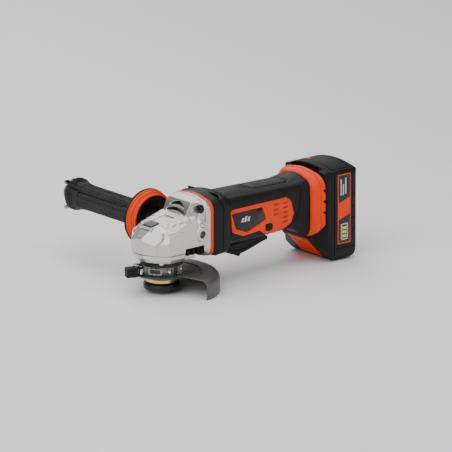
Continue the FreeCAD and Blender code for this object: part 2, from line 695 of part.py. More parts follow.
def button_block(margin, depth, half_width):
    """Block that lies along the sloping front of the pack and goes depth into it."""
    top = vec(201.8, 0, 14.0)
    low = vec(225.0, 0, -10.2)
    along = (low - top).normalize()
    inward = vec(-along.z, 0, along.x)
    corners = [top + along * margin, low - along * margin]
    corners += [corners[1] + inward * depth, corners[0] + inward * depth]
    if margin < 0.6:
        corners[0] -= inward * 3
        corners[1] -= inward * 3
    return side_prism([(p.x, p.z) for p in corners], half_width)


def gauge_button():
    return box(235.0, 241.0, 18.0, 25.0, 93.9, 99.0).common(pack_outer())


def pack_inside():
    cells = []
    for column in (232.2, 250.4):
        for z in (6.0, 24.0, 42.0, 60.0, 78.0):
            cells.append(cyl_y(8.9, -32.5, 32.5, column, z))
    holder = box(223.4, 259.2, -24.0, -21.0, 3.0, 84.0)
    holder = holder.fuse(box(223.4, 259.2, 21.0, 24.0, 3.0, 84.0))
    return group(cells), holder.cut(group(cells))


def label(side):
    """Framed label on the rear case's flank."""
    y = sorted((side * PACK_HW, side * (PACK_HW + 0.3)))
    plate = box(231.0, 251.0, y[0], y[1], 7.0, 90.0)
    return plate.common(side_prism([(231, 90), (251, 90), (251, 20), (249, 7), (234.5, 7), (231, 15)], 50))


# ---------------------------------------------------------------- assemble

parts["gear_housing"] = gear_housing()
parts["bearing_cover"] = bearing_cover()
parts["cover_screws"] = cover_screws()
parts["housing_screws"] = housing_screws()
parts["baffle_plate"] = baffle_plate()
parts["trim_ring"] = trim_ring()
parts["needle_bush"] = tube_z(8.0, 5.03, 55.0, 62.6)
parts["dust_seal"] = tube_z(14.0, 8.08, 17.0, 22.0)

parts["spindle"] = spindle()
parts["crown_gear"] = crown_gear()
parts["spindle_circlip"] = tube_z(8.0, 6.0, 48.2, 49.4).cut(box(0, 10, -2, 2, 48, 50))
parts["inner_flange"] = inner_flange()
parts["outer_flange_nut"] = flange_nut()
parts["spindle_bearing_inner"], parts["spindle_bearing_outer"] = ball_bearing_z(6.0, 16.0, 30.0, 40.0)

parts["rotor_shaft"] = rotor_shaft()
parts["pinion"] = pinion()
parts["pinion_nut"] = hexagon(9.0, 11.6, 15.0, 0, ROTOR_Z).cut(cyl_x(4.0, 5, 20))
parts["fan"] = fan()
parts["rotor_core"] = tube_x(12.4, 4.0, 58.0, 88.0)
front_inner, front_outer = bearing_x(4.0, 11.0, 32.0, 40.0)
rear_inner, rear_outer = bearing_x(3.0, 9.5, 97.0, 103.0)
parts["motor_bearing_inners"] = group([front_inner, rear_inner])
parts["motor_bearing_outers"] = group([front_outer, rear_outer])
parts["stator_core"], parts["stator_windings"] = stator()

parts["shell_left"], parts["shell_right"] = shell()
panel = side_panel()
parts["side_panel_right"] = panel
parts["side_panel_left"] = mirrored(panel)
plate = badge()
parts["badge_plates"] = group([plate, mirrored(plate)])
parts["shell_screws"] = shell_screws()
parts["rear_bumper"] = rear_bumper()
parts["battery_mount"] = rail_block()
parts["terminal_block"] = terminal_block()
parts["terminal_blades"] = terminal_blades()
parts["controller_module"] = box(122, 172, -15, 15, 52, 72)
parts["switch_body"] = box(110, 136, -8, 8, 37.4, 50)
parts["paddle_pin"] = cyl_y(2.0, -10.9, 10.9, *PADDLE_PIVOT)

parts["spindle_lock_button"] = fuse([box(BUTTON_X - 9.4, BUTTON_X + 4.4, -8.5, 8.5, 67.4, 71.0),
                                     cyl_z(2.5, 49.6, 67.5, BUTTON_X)])
parts["lock_spring"] = tube_z(4.4, 2.7, 63.2, 67.4, BUTTON_X)
parts["paddle"] = paddle()
parts["lock_off_lever"] = lock_off_lever()
parts["lever_pin"] = cyl_y(1.5, -11.0, 11.0, *LEVER_PIVOT)

parts["wheel_guard"] = wheel_guard()
parts["guard_band"] = guard_band()
parts["guard_rivets"] = guard_rivets()
parts["clamp_link"] = group([clamp_bolt().cut(clamp_pin()), clamp_pin()])
parts["clamp_lever"] = clamp_lever()

parts["handle_hub"] = handle_hub()
parts["handle_trim_ring"] = handle_trim()
parts["handle_grip"] = handle_grip()
parts["handle_stud"] = handle_stud()
parts["spanner_head"] = spanner_head()
parts["pin_spanner"] = pin_spanner()

parts["pack_case_front"], parts["pack_case_rear"] = pack_case()
parts["release_button"] = button_block(0.8, 4.0, 17.8)
parts["gauge_button"] = gauge_button()
parts["battery_cells"], parts["cell_holder"] = pack_inside()
parts["pack_labels"] = group([label(1), label(-1)])

os.makedirs("parts", exist_ok=True)
for name, shape in parts.items():
    shape.exportStep("parts/" + name + ".step")
print(len(parts), "nodes")
for name, shape in parts.items():
    if not shape.isValid() or not shape.Solids:
        print("check", name, shape.isValid(), len(shape.Solids))
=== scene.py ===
"""Cordless angle grinder: the looks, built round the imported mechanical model.

Sizes in this file are millimetres in the model's own frame: the spindle axis is Z through the
origin, +X runs back to the battery and +Y out along the side handle. `Bench` turns them into metres.
"""

import json
import logging
import math
from dataclasses import dataclass, field
from enum import Enum

import bmesh
import bpy
from mathutils import Matrix, Vector

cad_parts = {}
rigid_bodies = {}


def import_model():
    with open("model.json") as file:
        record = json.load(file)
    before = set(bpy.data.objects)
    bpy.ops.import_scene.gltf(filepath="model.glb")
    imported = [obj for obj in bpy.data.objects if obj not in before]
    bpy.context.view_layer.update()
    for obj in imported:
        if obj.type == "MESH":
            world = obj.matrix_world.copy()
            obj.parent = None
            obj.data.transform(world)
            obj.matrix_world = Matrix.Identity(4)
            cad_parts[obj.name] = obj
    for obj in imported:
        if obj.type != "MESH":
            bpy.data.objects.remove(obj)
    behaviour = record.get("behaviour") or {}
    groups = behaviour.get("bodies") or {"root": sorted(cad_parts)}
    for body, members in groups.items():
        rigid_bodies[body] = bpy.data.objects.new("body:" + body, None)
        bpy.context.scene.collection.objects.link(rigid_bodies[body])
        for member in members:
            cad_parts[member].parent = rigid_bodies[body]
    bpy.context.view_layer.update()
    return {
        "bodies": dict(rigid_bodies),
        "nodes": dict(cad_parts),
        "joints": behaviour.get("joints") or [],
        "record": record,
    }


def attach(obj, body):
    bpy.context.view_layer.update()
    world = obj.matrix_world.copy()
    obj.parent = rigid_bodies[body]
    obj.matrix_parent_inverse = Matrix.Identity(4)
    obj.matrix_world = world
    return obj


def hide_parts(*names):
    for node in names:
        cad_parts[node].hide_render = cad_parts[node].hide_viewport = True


MM = 0.001
LOG = logging.getLogger("grinder")
Point = tuple[float, float, float]
Outline = list[tuple[float, float]]

SPINDLE = (0.0, 0.0, 0.0)
ROTOR_Z = 59.0
HANDLE_X = 32.0
HANDLE_Z = 55.0


class Axis(Enum):
    """A row axis, with the turn that brings a shape made along Z onto it."""

    X = (0.0, math.pi / 2, 0.0)
    Y = (-math.pi / 2, 0.0, 0.0)
    Z = (0.0, 0.0, 0.0)


def flank(side: int, near: float, far: float) -> tuple[float, float]:
    """Order two distances from the middle plane as low and high Y on one side."""
    return (near, far) if side > 0 else (-far, -near)


class Cut(Enum):
    """How one solid acts on another."""

    REMOVE = "DIFFERENCE"
    ADD = "UNION"
    KEEP = "INTERSECT"


# ------------------------------------------------------------------------------ modelling


class Bench:
    """Modelling steps, each a few of Blender's own operators. Sizes are millimetres."""

    @staticmethod
    def take(obj: bpy.types.Object) -> None:
        """Select obj alone and make it active."""
        bpy.ops.object.select_all(action="DESELECT")
        obj.select_set(True)
        bpy.context.view_layer.objects.active = obj

    @staticmethod
    def settle(name: str) -> bpy.types.Object:
        """Name the new object and move its place into its mesh."""
        obj = bpy.context.object
        obj.name = name
        obj.data.name = name
        Bench.take(obj)
        bpy.ops.object.transform_apply(location=True, rotation=True, scale=True)
        return obj

    @staticmethod
    def block(name: str, low: Point, high: Point) -> bpy.types.Object:
        """Add a box between two corners."""
        bpy.ops.object.select_all(action="DESELECT")
        middle = [(a + b) / 2 * MM for a, b in zip(low, high)]
        size = [(b - a) * MM for a, b in zip(low, high)]
        bpy.ops.mesh.primitive_cube_add(size=1.0, location=middle, scale=size)
        return Bench.settle(name)

    @staticmethod
    def drum(name: str, radius: float, start: Point, length: float, axis: Axis,
             sides: int = 64) -> bpy.types.Object:
        """Add a cylinder from a point along an axis.

        Args:
            name: the object's name.
            radius: its radius.
            start: centre of the first face.
            length: length along the axis.
            axis: the axis it lies on.
            sides: number of flats round it.

        Returns:
            The new object.
        """
        bpy.ops.object.select_all(action="DESELECT")
        way = Matrix.Rotation(axis.value[1], 3, "Y") @ Matrix.Rotation(axis.value[0], 3, "X")
        middle = (Vector(start) + way @ Vector((0, 0, length / 2))) * MM
        bpy.ops.mesh.primitive_cone_add(vertices=sides, radius1=radius * MM,
                                        radius2=radius * MM, depth=length * MM,
                                        location=middle, rotation=axis.value)
        return Bench.settle(name)

    @staticmethod
    def rod(name: str, start: Point, end: Point, radius: float, sides: int = 16) -> bpy.types.Object:
        """Add a round bar between two points."""
        bpy.ops.object.select_all(action="DESELECT")
        way = (Vector(end) - Vector(start)) * MM
        middle = (Vector(end) + Vector(start)) * MM / 2
        bpy.ops.mesh.primitive_cylinder_add(vertices=sides, radius=radius * MM, depth=way.length,
                                            location=middle,
                                            rotation=way.to_track_quat("Z", "Y").to_euler())
        return Bench.settle(name)

    @staticmethod
    def join(obj: bpy.types.Object, *others: bpy.types.Object) -> bpy.types.Object:
        """Put other objects into obj's mesh."""
        bpy.ops.object.select_all(action="DESELECT")
        for other in others:
            other.select_set(True)
        obj.select_set(True)
        bpy.context.view_layer.objects.active = obj
        bpy.ops.object.join()
        return obj

    @staticmethod
    def trace(points: list[Point], closed: bool) -> None:
        """Draw a chain of edges by extruding one vertex, and stay in edit mode."""
        bpy.ops.object.select_all(action="DESELECT")
        first = Vector(points[0]) * MM
        bpy.ops.mesh.primitive_plane_add(size=0.001, location=(0, 0, 0))
        bpy.ops.object.mode_set(mode="EDIT")
        bpy.ops.mesh.merge(type="CENTER")
        bpy.ops.transform.translate(value=first)
        here = first
        for point in points[1:]:
            there = Vector(point) * MM
            bpy.ops.mesh.extrude_region_move(TRANSFORM_OT_translate={"value": there - here})
            here = there
        bpy.ops.mesh.select_all(action="SELECT")
        if closed:
            bpy.ops.mesh.edge_face_add()

    @staticmethod
    def face_outwards() -> None:
        """Turn every face outwards and leave edit mode."""
        bpy.ops.mesh.select_all(action="SELECT")
        bpy.ops.mesh.normals_make_consistent(inside=False)
        bpy.ops.object.mode_set(mode="OBJECT")

    @staticmethod
    def prism(name: str, outline: Outline, axis: Axis, low: float, high: float) -> bpy.types.Object:
        """Extrude a flat outline along an axis.

        Args:
            name: the object's name.
            outline: corners, as the two row coordinates across the axis, in X, Y, Z order.
            axis: direction of the extrusion.
            low: where it starts on the axis.
            high: where it ends.

        Returns:
            The new object.
        """
        place = {Axis.X: lambda a, b: (low, a, b), Axis.Y: lambda a, b: (a, low, b),
                 Axis.Z: lambda a, b: (a, b, low)}[axis]
        Bench.trace([place(a, b) for a, b in outline], closed=True)
        run = Vector(place(0, 0)) * 0
        run["XYZ".index(axis.name)] = (high - low) * MM
        bpy.ops.mesh.extrude_region_move(TRANSFORM_OT_translate={"value": run})
        Bench.face_outwards()
        return Bench.settle(name)

    @staticmethod
    def turned(name: str, profile: Outline, centre: Point, axis: Axis, steps: int = 96,
               angle: float = 360.0, start: float = 0.0) -> bpy.types.Object:
        """Spin a closed profile, given as (radius, height), about an axis through centre."""
        Bench.trace([(r, 0.0, h) for r, h in profile], closed=True)
        bpy.ops.mesh.spin(steps=steps, angle=-math.radians(angle), center=(0, 0, 0), axis=(0, 0, 1))
        bpy.ops.mesh.select_all(action="SELECT")
        bpy.ops.mesh.remove_doubles(threshold=0.000005)
        bpy.ops.mesh.normals_make_consistent(inside=False)
        bpy.ops.object.mode_set(mode="OBJECT")
        obj = bpy.context.object
        if angle >= 360.0:
            Bench.drop_inner_faces(obj)
        else:
            Bench.close_ends(obj)
        Bench.swing(obj, start, SPINDLE, Axis.Z)
        obj.rotation_euler = axis.value
        obj.location = Vector(centre) * MM
        return Bench.settle(name)

    @staticmethod
    def drop_inner_faces(obj: bpy.types.Object) -> None:
        """Remove the profile's own face, which a full turn leaves inside the solid."""
        Bench.take(obj)
        bpy.ops.object.mode_set(mode="EDIT")
        bpy.ops.mesh.select_all(action="DESELECT")
        shape = bmesh.from_edit_mesh(obj.data)
        for face in shape.faces:
            face.select = all(abs(v.co.y) < 1e-6 for v in face.verts)
        bmesh.update_edit_mesh(obj.data)
        bpy.ops.mesh.delete(type="ONLY_FACE")
        Bench.face_outwards()

    @staticmethod
    def close_ends(obj: bpy.types.Object) -> None:
        """Cap what a part turn leaves open, and face every wall outwards."""
        Bench.take(obj)
        bpy.ops.object.mode_set(mode="EDIT")
        bpy.ops.mesh.select_all(action="SELECT")
        bpy.ops.mesh.fill_holes(sides=0)
        Bench.face_outwards()

    @staticmethod
    def carve(obj: bpy.types.Object, point: Point, normal: Point) -> None:
        """Cut away what lies on the normal's side of a plane."""
        Bench.take(obj)
        bpy.ops.object.mode_set(mode="EDIT")
        bpy.ops.mesh.select_all(action="SELECT")
        bpy.ops.mesh.bisect(plane_co=Vector(point) * MM, plane_no=Vector(normal).normalized(),
                            use_fill=True, clear_outer=True)
        bpy.ops.object.mode_set(mode="OBJECT")

    @staticmethod
    def round_edges(obj: bpy.types.Object, width: float, segments: int = 3,
                    along: Axis | None = None, angle: float = 30.0) -> None:
        """Bevel sharp edges: all of them, or only those that run along one axis."""
        Bench.take(obj)
        bpy.ops.object.mode_set(mode="EDIT")
        bpy.ops.mesh.select_mode(type="EDGE")
        bpy.ops.mesh.select_all(action="DESELECT")
        shape = bmesh.from_edit_mesh(obj.data)
        for edge in shape.edges:
            if len(edge.link_faces) != 2 or edge.calc_face_angle(0.0) < math.radians(angle):
                continue
            if along is not None:
                way = (edge.verts[1].co - edge.verts[0].co).normalized()
                if abs(way["XYZ".index(along.name)]) < 0.99:
                    continue
            edge.select = True
        bmesh.update_edit_mesh(obj.data)
        bpy.ops.mesh.bevel(offset=width * MM, segments=segments, profile=0.5, affect="EDGES")
        bpy.ops.mesh.select_mode(type="VERT")
        bpy.ops.object.mode_set(mode="OBJECT")

    @staticmethod
    def combine(obj: bpy.types.Object, tool: bpy.types.Object, how: Cut) -> bpy.types.Object:
        """Act on obj with another solid, which is used up."""
        Bench.take(obj)
        step = obj.modifiers.new("combine", "BOOLEAN")
        step.operation = how.value
        step.solver = "EXACT"
        step.object = tool
        bpy.ops.object.modifier_apply(modifier=step.name)
        bpy.data.objects.remove(tool, do_unlink=True)
        return obj

    @staticmethod
    def cast(obj: bpy.types.Object, voxel: float, softness: int, keep: float = 1.0) -> None:
        """Rebuild a faceted solid as one even skin, and soften its edges as a mould does.

        Args:
            obj: the solid.
            voxel: size of the new faces.
            softness: rounds of smoothing.
            keep: share of the faces kept at the end.
        """
        Bench.take(obj)
        skin = obj.modifiers.new("skin", "REMESH")
        skin.mode = "VOXEL"
        skin.voxel_size = voxel * MM
        bpy.ops.object.modifier_apply(modifier=skin.name)
        soft = obj.modifiers.new("soft", "SMOOTH")
        soft.factor = 0.5
        soft.iterations = softness
        bpy.ops.object.modifier_apply(modifier=soft.name)
        if keep < 1.0:
            thin = obj.modifiers.new("thin", "DECIMATE")
            thin.ratio = keep
            bpy.ops.object.modifier_apply(modifier=thin.name)
        bpy.ops.object.shade_smooth()

    @staticmethod
    def shade(obj: bpy.types.Object, angle: float = 35.0) -> None:
        """Smooth the shading of all but the sharp edges."""
        Bench.take(obj)
        bpy.ops.object.shade_smooth_by_angle(angle=math.radians(angle))

    @staticmethod
    def copy(obj: bpy.types.Object, name: str) -> bpy.types.Object:
        """Copy an object together with its mesh."""
        twin = obj.copy()
        twin.data = obj.data.copy()
        twin.name = name
        twin.data.name = name
        bpy.context.scene.collection.objects.link(twin)
        return twin

    @staticmethod
    def repeat(first: bpy.types.Object, name: str, places: list[Point]) -> bpy.types.Object:
        """Copy a piece to each place, join the copies and drop the first."""
        copies = []
        for place in places:
            one = Bench.copy(first, name)
            one.location = Vector(place) * MM
            Bench.take(one)
            bpy.ops.object.transform_apply(location=True, rotation=True, scale=True)
            copies.append(one)
        bpy.data.objects.remove(first, do_unlink=True)
        return Bench.join(*copies)

    @staticmethod
    def swing(obj: bpy.types.Object, degrees: float, centre: Point, axis: Axis) -> None:
        """Turn a mesh about an axis through centre, by the right-hand rule."""
        turn = Matrix.Rotation(math.radians(degrees), 4, axis.name)
        move = Matrix.Translation(Vector(centre) * MM)
        obj.matrix_world = move @ turn @ move.inverted() @ obj.matrix_world
        Bench.take(obj)
        bpy.ops.object.transform_apply(location=True, rotation=True, scale=True)

    @staticmethod
    def sleeve(name: str, stations: list["Station"], inset: float = 0.0) -> bpy.types.Object:
        """Loft a crowned box along X: each station is the last one's end face, moved and resized.

        Args:
            name: the object's name.
            stations: cross-sections, front to back.
            inset: how far inside them the skin lies; negative is outside.

        Returns:
            The new object.
        """
        first = stations[0]
        obj = Bench.prism(name, first.outline(inset), Axis.X, first.x, first.x + 0.5)
        Bench.take(obj)
        bpy.ops.object.mode_set(mode="EDIT")
        bpy.ops.mesh.select_mode(type="FACE")
        bpy.ops.mesh.select_all(action="DESELECT")
        shape = bmesh.from_edit_mesh(obj.data)
        for face in shape.faces:
            face.select = face.normal.x > 0.9
        bmesh.update_edit_mesh(obj.data)
        here = first
        x = first.x + 0.5
        for station in stations[1:]:
            bpy.ops.mesh.extrude_region_move(
                TRANSFORM_OT_translate={"value": ((station.x - x) * MM, 0, 0)})
            wide = (station.half_width - inset) / (here.half_width - inset)
            tall = (station.top - station.bottom - 2 * inset) / (here.top - here.bottom - 2 * inset)
            middle = (here.top + here.bottom) / 2
            bpy.ops.transform.resize(value=(1, wide, tall),
                                     center_override=(station.x * MM, 0, middle * MM))
            shift = (station.top + station.bottom) / 2 - middle
            bpy.ops.transform.translate(value=(0, 0, shift * MM))
            here = station
            x = station.x
        bpy.ops.mesh.select_mode(type="VERT")
        bpy.ops.object.mode_set(mode="OBJECT")
        return obj


@dataclass(frozen=True)
class Station:
    """One cross-section of a sleeve along X."""

    x: float
    half_width: float
    bottom: float
    top: float
    rise: float = 2.0
    corner: float = 12.0

    def outline(self, inset: float = 0.0) -> Outline:
        """Rounded corners and a crowned top, as (y, z)."""
        w, low, high = self.half_width - inset, self.bottom + inset, self.top - inset
        r = max(self.corner - inset, 1.0)
        half = []
        for step in range(7):
            a = math.radians(-90 + 15 * step)
            half.append((w - r + r * math.cos(a), low + r + r * math.sin(a)))
        for step in range(6):
            a = math.radians(15 * step)
            half.append((w - r + r * math.cos(a), high - r + r * math.sin(a)))
        for step in range(5):
            y = (w - r) * (1 - step / 4)
            half.append((y, high + self.rise * (1 - (y / (w - r)) ** 2)))
        return half + [(-y, z) for y, z in reversed(half[:-1])]


# ------------------------------------------------------------------------------ finishes


class Effects:
    """Shader node groups that several finishes share."""

    groups: dict[str, bpy.types.NodeTree] = {}

    @classmethod
    def build(cls) -> None:
        """Make every group once."""
        cls.groups = {"grain": cls.grain(), "wear": cls.wear(), "mottle": cls.mottle()}

    @staticmethod
    def tree(name: str, inputs: dict[str, float], outputs: list[str]) -> bpy.types.NodeTree:
        """Make an empty group with named value sockets."""
        group = bpy.data.node_groups.new(name, "ShaderNodeTree")
        for label, value in inputs.items():
            socket = group.interface.new_socket(label, in_out="INPUT", socket_type="NodeSocketFloat")
            socket.default_value = value
        for label in outputs:
            group.interface.new_socket(label, in_out="OUTPUT", socket_type="NodeSocketFloat")
        return group

    @classmethod
    def grain(cls) -> bpy.types.NodeTree:
        """Fine moulded or cast grain: a height, and a slow variation."""
        group = cls.tree("surface_grain", {"Size": 900.0, "Coarse": 0.35}, ["Height", "Slow"])
        nodes, links = group.nodes, group.links
        enter = nodes.new("NodeGroupInput")
        leave = nodes.new("NodeGroupOutput")
        place = nodes.new("ShaderNodeTexCoord")
        fine = nodes.new("ShaderNodeTexNoise")
        fine.inputs["Detail"].default_value = 4.0
        fine.inputs["Roughness"].default_value = 0.6
        slow = nodes.new("ShaderNodeTexNoise")
        slow.inputs["Scale"].default_value = 45.0
        slow.inputs["Detail"].default_value = 3.0
        cell = nodes.new("ShaderNodeTexVoronoi")
        mix = nodes.new("ShaderNodeMix")
        links.new(place.outputs["Object"], fine.inputs["Vector"])
        links.new(place.outputs["Object"], slow.inputs["Vector"])
        links.new(place.outputs["Object"], cell.inputs["Vector"])
        links.new(enter.outputs["Size"], fine.inputs["Scale"])
        links.new(enter.outputs["Size"], cell.inputs["Scale"])
        links.new(enter.outputs["Coarse"], mix.inputs["Factor"])
        links.new(fine.outputs["Fac"], mix.inputs["A"])
        links.new(cell.outputs["Distance"], mix.inputs["B"])
        links.new(mix.outputs["Result"], leave.inputs["Height"])
        links.new(slow.outputs["Fac"], leave.inputs["Slow"])
        return group

    @classmethod
    def wear(cls) -> bpy.types.NodeTree:
        """Rubbed edges: a mask that is high where the surface turns outwards."""
        group = cls.tree("edge_wear", {"Reach": 0.53, "Break": 160.0}, ["Mask"])
        nodes, links = group.nodes, group.links
        enter = nodes.new("NodeGroupInput")
        leave = nodes.new("NodeGroupOutput")
        place = nodes.new("ShaderNodeTexCoord")
        shape = nodes.new("ShaderNodeNewGeometry")
        noise = nodes.new("ShaderNodeTexNoise")
        noise.inputs["Detail"].default_value = 5.0
        less = nodes.new("ShaderNodeMath")
        less.operation = "SUBTRACT"
        gain = nodes.new("ShaderNodeMath")
        gain.operation = "MULTIPLY"
        gain.inputs[1].default_value = 9.0
        gain.use_clamp = True
        patch = nodes.new("ShaderNodeMath")
        patch.operation = "MULTIPLY"
        patch.use_clamp = True
        links.new(place.outputs["Object"], noise.inputs["Vector"])
        links.new(enter.outputs["Break"], noise.inputs["Scale"])
        links.new(shape.outputs["Pointiness"], less.inputs[0])
        links.new(enter.outputs["Reach"], less.inputs[1])
        links.new(less.outputs[0], gain.inputs[0])
        links.new(gain.outputs[0], patch.inputs[0])
        links.new(noise.outputs["Fac"], patch.inputs[1])
        links.new(patch.outputs[0], leave.inputs["Mask"])
        return group

    @classmethod
    def mottle(cls) -> bpy.types.NodeTree:
        """Faint handling marks and dust: a mask in soft patches."""
        group = cls.tree("handling_marks", {"Size": 60.0}, ["Mask"])
        nodes, links = group.nodes, group.links
        enter = nodes.new("NodeGroupInput")
        leave = nodes.new("NodeGroupOutput")
        place = nodes.new("ShaderNodeTexCoord")
        noise = nodes.new("ShaderNodeTexNoise")
        noise.inputs["Detail"].default_value = 6.0
        noise.inputs["Roughness"].default_value = 0.62
        ramp = nodes.new("ShaderNodeMapRange")
        ramp.inputs["From Min"].default_value = 0.42
        ramp.inputs["From Max"].default_value = 0.72
        links.new(place.outputs["Object"], noise.inputs["Vector"])
        links.new(enter.outputs["Size"], noise.inputs["Scale"])
        links.new(noise.outputs["Fac"], ramp.inputs["Value"])
        links.new(ramp.outputs["Result"], leave.inputs["Mask"])
        return group


@dataclass(frozen=True)
class Finish:
    """A surface finish, dressed with grain, handling marks and rubbed edges."""

    name: str
    slot: str
    color: tuple[float, float, float]
    second: tuple[float, float, float]
    edge: tuple[float, float, float]
    roughness: float = 0.5
    rough_swing: float = 0.12
    metallic: float = 0.0
    specular: float = 0.5
    coat: float = 0.0
    coat_rough: float = 0.1
    grain_size: float = 900.0
    grain_coarse: float = 0.35
    grain_depth: float = 0.25
    grain_height: float = 0.00006
    edge_strength: float = 0.5
    edge_reach: float = 0.53

    def material(self) -> bpy.types.Material:
        """Build the material, or return the one already built."""
        known = bpy.data.materials.get(self.name)
        if known:
            return known
        mat = bpy.data.materials.new(self.name)
        mat.use_nodes = True
        nodes, links = mat.node_tree.nodes, mat.node_tree.links
        skin = nodes["Principled BSDF"]
        grain = self.place_group(nodes, "grain", {"Size": self.grain_size, "Coarse": self.grain_coarse})
        wear = self.place_group(nodes, "wear", {"Reach": self.edge_reach, "Break": 160.0})
        marks = self.place_group(nodes, "mottle", {"Size": 60.0})
        tint = self.blend(nodes, self.color, self.second)
        links.new(marks.outputs["Mask"], tint.inputs["Factor"])
        rubbed = self.blend(nodes, self.color, self.edge)
        strength = nodes.new("ShaderNodeMath")
        strength.operation = "MULTIPLY"
        strength.inputs[1].default_value = self.edge_strength
        links.new(wear.outputs["Mask"], strength.inputs[0])
        links.new(strength.outputs[0], rubbed.inputs["Factor"])
        links.new(tint.outputs["Result"], rubbed.inputs["A"])
        links.new(rubbed.outputs["Result"], skin.inputs["Base Color"])
        rough = nodes.new("ShaderNodeMapRange")
        rough.inputs["To Min"].default_value = self.roughness - self.rough_swing
        rough.inputs["To Max"].default_value = self.roughness + self.rough_swing
        links.new(grain.outputs["Slow"], rough.inputs["Value"])
        links.new(rough.outputs["Result"], skin.inputs["Roughness"])
        bump = nodes.new("ShaderNodeBump")
        bump.inputs["Strength"].default_value = self.grain_depth
        bump.inputs["Distance"].default_value = self.grain_height
        links.new(grain.outputs["Height"], bump.inputs["Height"])
        links.new(bump.outputs["Normal"], skin.inputs["Normal"])
        skin.inputs["Metallic"].default_value = self.metallic
        skin.inputs["Specular IOR Level"].default_value = self.specular
        skin.inputs["Coat Weight"].default_value = self.coat
        skin.inputs["Coat Roughness"].default_value = self.coat_rough
        return mat

    @staticmethod
    def place_group(nodes: bpy.types.Nodes, name: str, values: dict[str, float]) -> bpy.types.Node:
        """Put a shared group in a material, with this finish's own values."""
        node = nodes.new("ShaderNodeGroup")
        node.node_tree = Effects.groups[name]
        for label, value in values.items():
            node.inputs[label].default_value = value
        return node

    @staticmethod
    def blend(nodes: bpy.types.Nodes, a: tuple[float, float, float],
              b: tuple[float, float, float]) -> bpy.types.Node:
        """Add a colour mix node between two colours."""
        node = nodes.new("ShaderNodeMix")
        node.data_type = "RGBA"
        node.inputs["A"].default_value = (*a, 1.0)
        node.inputs["B"].default_value = (*b, 1.0)
        return node


CAST_ALUMINIUM = Finish("cast_aluminium", "cast_aluminium", (0.088, 0.082, 0.076), (0.062, 0.058, 0.054),
                        (0.34, 0.33, 0.32), roughness=0.30, rough_swing=0.08, metallic=0.93,
                        grain_size=1100.0, grain_coarse=0.3, grain_depth=0.35, grain_height=0.00008,
                        edge_strength=0.9, edge_reach=0.515)
STEEL = Finish("ground_steel", "steel", (0.52, 0.52, 0.53), (0.42, 0.42, 0.43), (0.8, 0.8, 0.8),
               roughness=0.28, metallic=1.0, grain_size=1800.0, grain_depth=0.1)
BLACK_STEEL = Finish("blackened_steel", "black_steel", (0.012, 0.012, 0.013), (0.025, 0.025, 0.025),
                     (0.25, 0.25, 0.25), roughness=0.34, metallic=0.35, grain_size=1500.0,
                     grain_depth=0.12, edge_strength=0.35)
GUARD_COAT = Finish("guard_coat", "guard_coat", (0.022, 0.021, 0.020), (0.034, 0.032, 0.031),
                    (0.25, 0.25, 0.25), roughness=0.33, rough_swing=0.06, metallic=0.55,
                    grain_size=1400.0, grain_depth=0.12, edge_strength=0.3)
ZINC = Finish("bright_zinc", "zinc", (0.66, 0.67, 0.69), (0.55, 0.56, 0.57), (0.9, 0.9, 0.9),
              roughness=0.24, rough_swing=0.07, metallic=1.0, grain_size=1500.0, grain_depth=0.08)
BAND_STEEL = Finish("band_steel", "zinc", (0.36, 0.35, 0.34), (0.26, 0.25, 0.24), (0.8, 0.8, 0.8),
                    roughness=0.3, rough_swing=0.07, metallic=1.0, grain_size=1500.0, grain_depth=0.1)
BRASS = Finish("turned_brass", "brass", (0.66, 0.50, 0.22), (0.52, 0.38, 0.15), (0.9, 0.78, 0.45),
               roughness=0.27, metallic=1.0, grain_size=1700.0, grain_depth=0.1)
ORANGE = Finish("orange_moulding", "orange_plastic", (0.90, 0.050, 0.0), (0.82, 0.043, 0.0),
                (0.92, 0.10, 0.01), roughness=0.42, rough_swing=0.06, grain_size=1500.0,
                grain_depth=0.18, edge_strength=0.25, specular=0.2)
ORANGE_DEEP = Finish("orange_shadow", "orange_plastic", (0.52, 0.016, 0.002), (0.48, 0.014, 0.002),
                     (0.6, 0.04, 0.01), roughness=0.5, grain_size=1500.0, grain_depth=0.15,
                     edge_strength=0.1)
BLACK = Finish("black_nylon", "black_plastic", (0.0055, 0.0057, 0.0062), (0.0085, 0.0088, 0.0092),
               (0.035, 0.035, 0.037), roughness=0.48, rough_swing=0.07, grain_size=1500.0,
               grain_depth=0.3, grain_height=0.00005, edge_strength=0.35, specular=0.22)
RUBBER = Finish("black_rubber", "black_rubber", (0.0058, 0.006, 0.0064), (0.009, 0.0092, 0.0096),
                (0.03, 0.03, 0.031), roughness=0.62, rough_swing=0.08, grain_size=1900.0,
                grain_depth=0.4, grain_height=0.00005, edge_strength=0.35, specular=0.16)
GLOSS = Finish("badge_gloss", "gloss_black", (0.004, 0.004, 0.0045), (0.008, 0.008, 0.008),
               (0.03, 0.03, 0.03), roughness=0.22, specular=0.25, rough_swing=0.05, grain_size=900.0,
               grain_depth=0.03, coat=0.3)
GREY = Finish("grey_moulding", "grey_plastic", (0.05, 0.052, 0.056), (0.065, 0.067, 0.07),
              (0.12, 0.12, 0.12), roughness=0.45, grain_size=1400.0, grain_depth=0.2)
PALE_PRINT = Finish("pale_print", "gloss_black", (0.62, 0.63, 0.64), (0.55, 0.56, 0.57),
                    (0.7, 0.7, 0.7), roughness=0.4, grain_size=1600.0, grain_depth=0.05)
LIME_PRINT = Finish("lime_print", "gloss_black", (0.62, 0.66, 0.03), (0.55, 0.6, 0.03),
                    (0.7, 0.7, 0.1), roughness=0.4, grain_size=1600.0, grain_depth=0.05)
COPPER = Finish("winding_copper", "copper", (0.55, 0.21, 0.08), (0.45, 0.16, 0.06),
                (0.8, 0.45, 0.25), roughness=0.3, metallic=0.9, grain_size=2500.0, grain_depth=0.5)
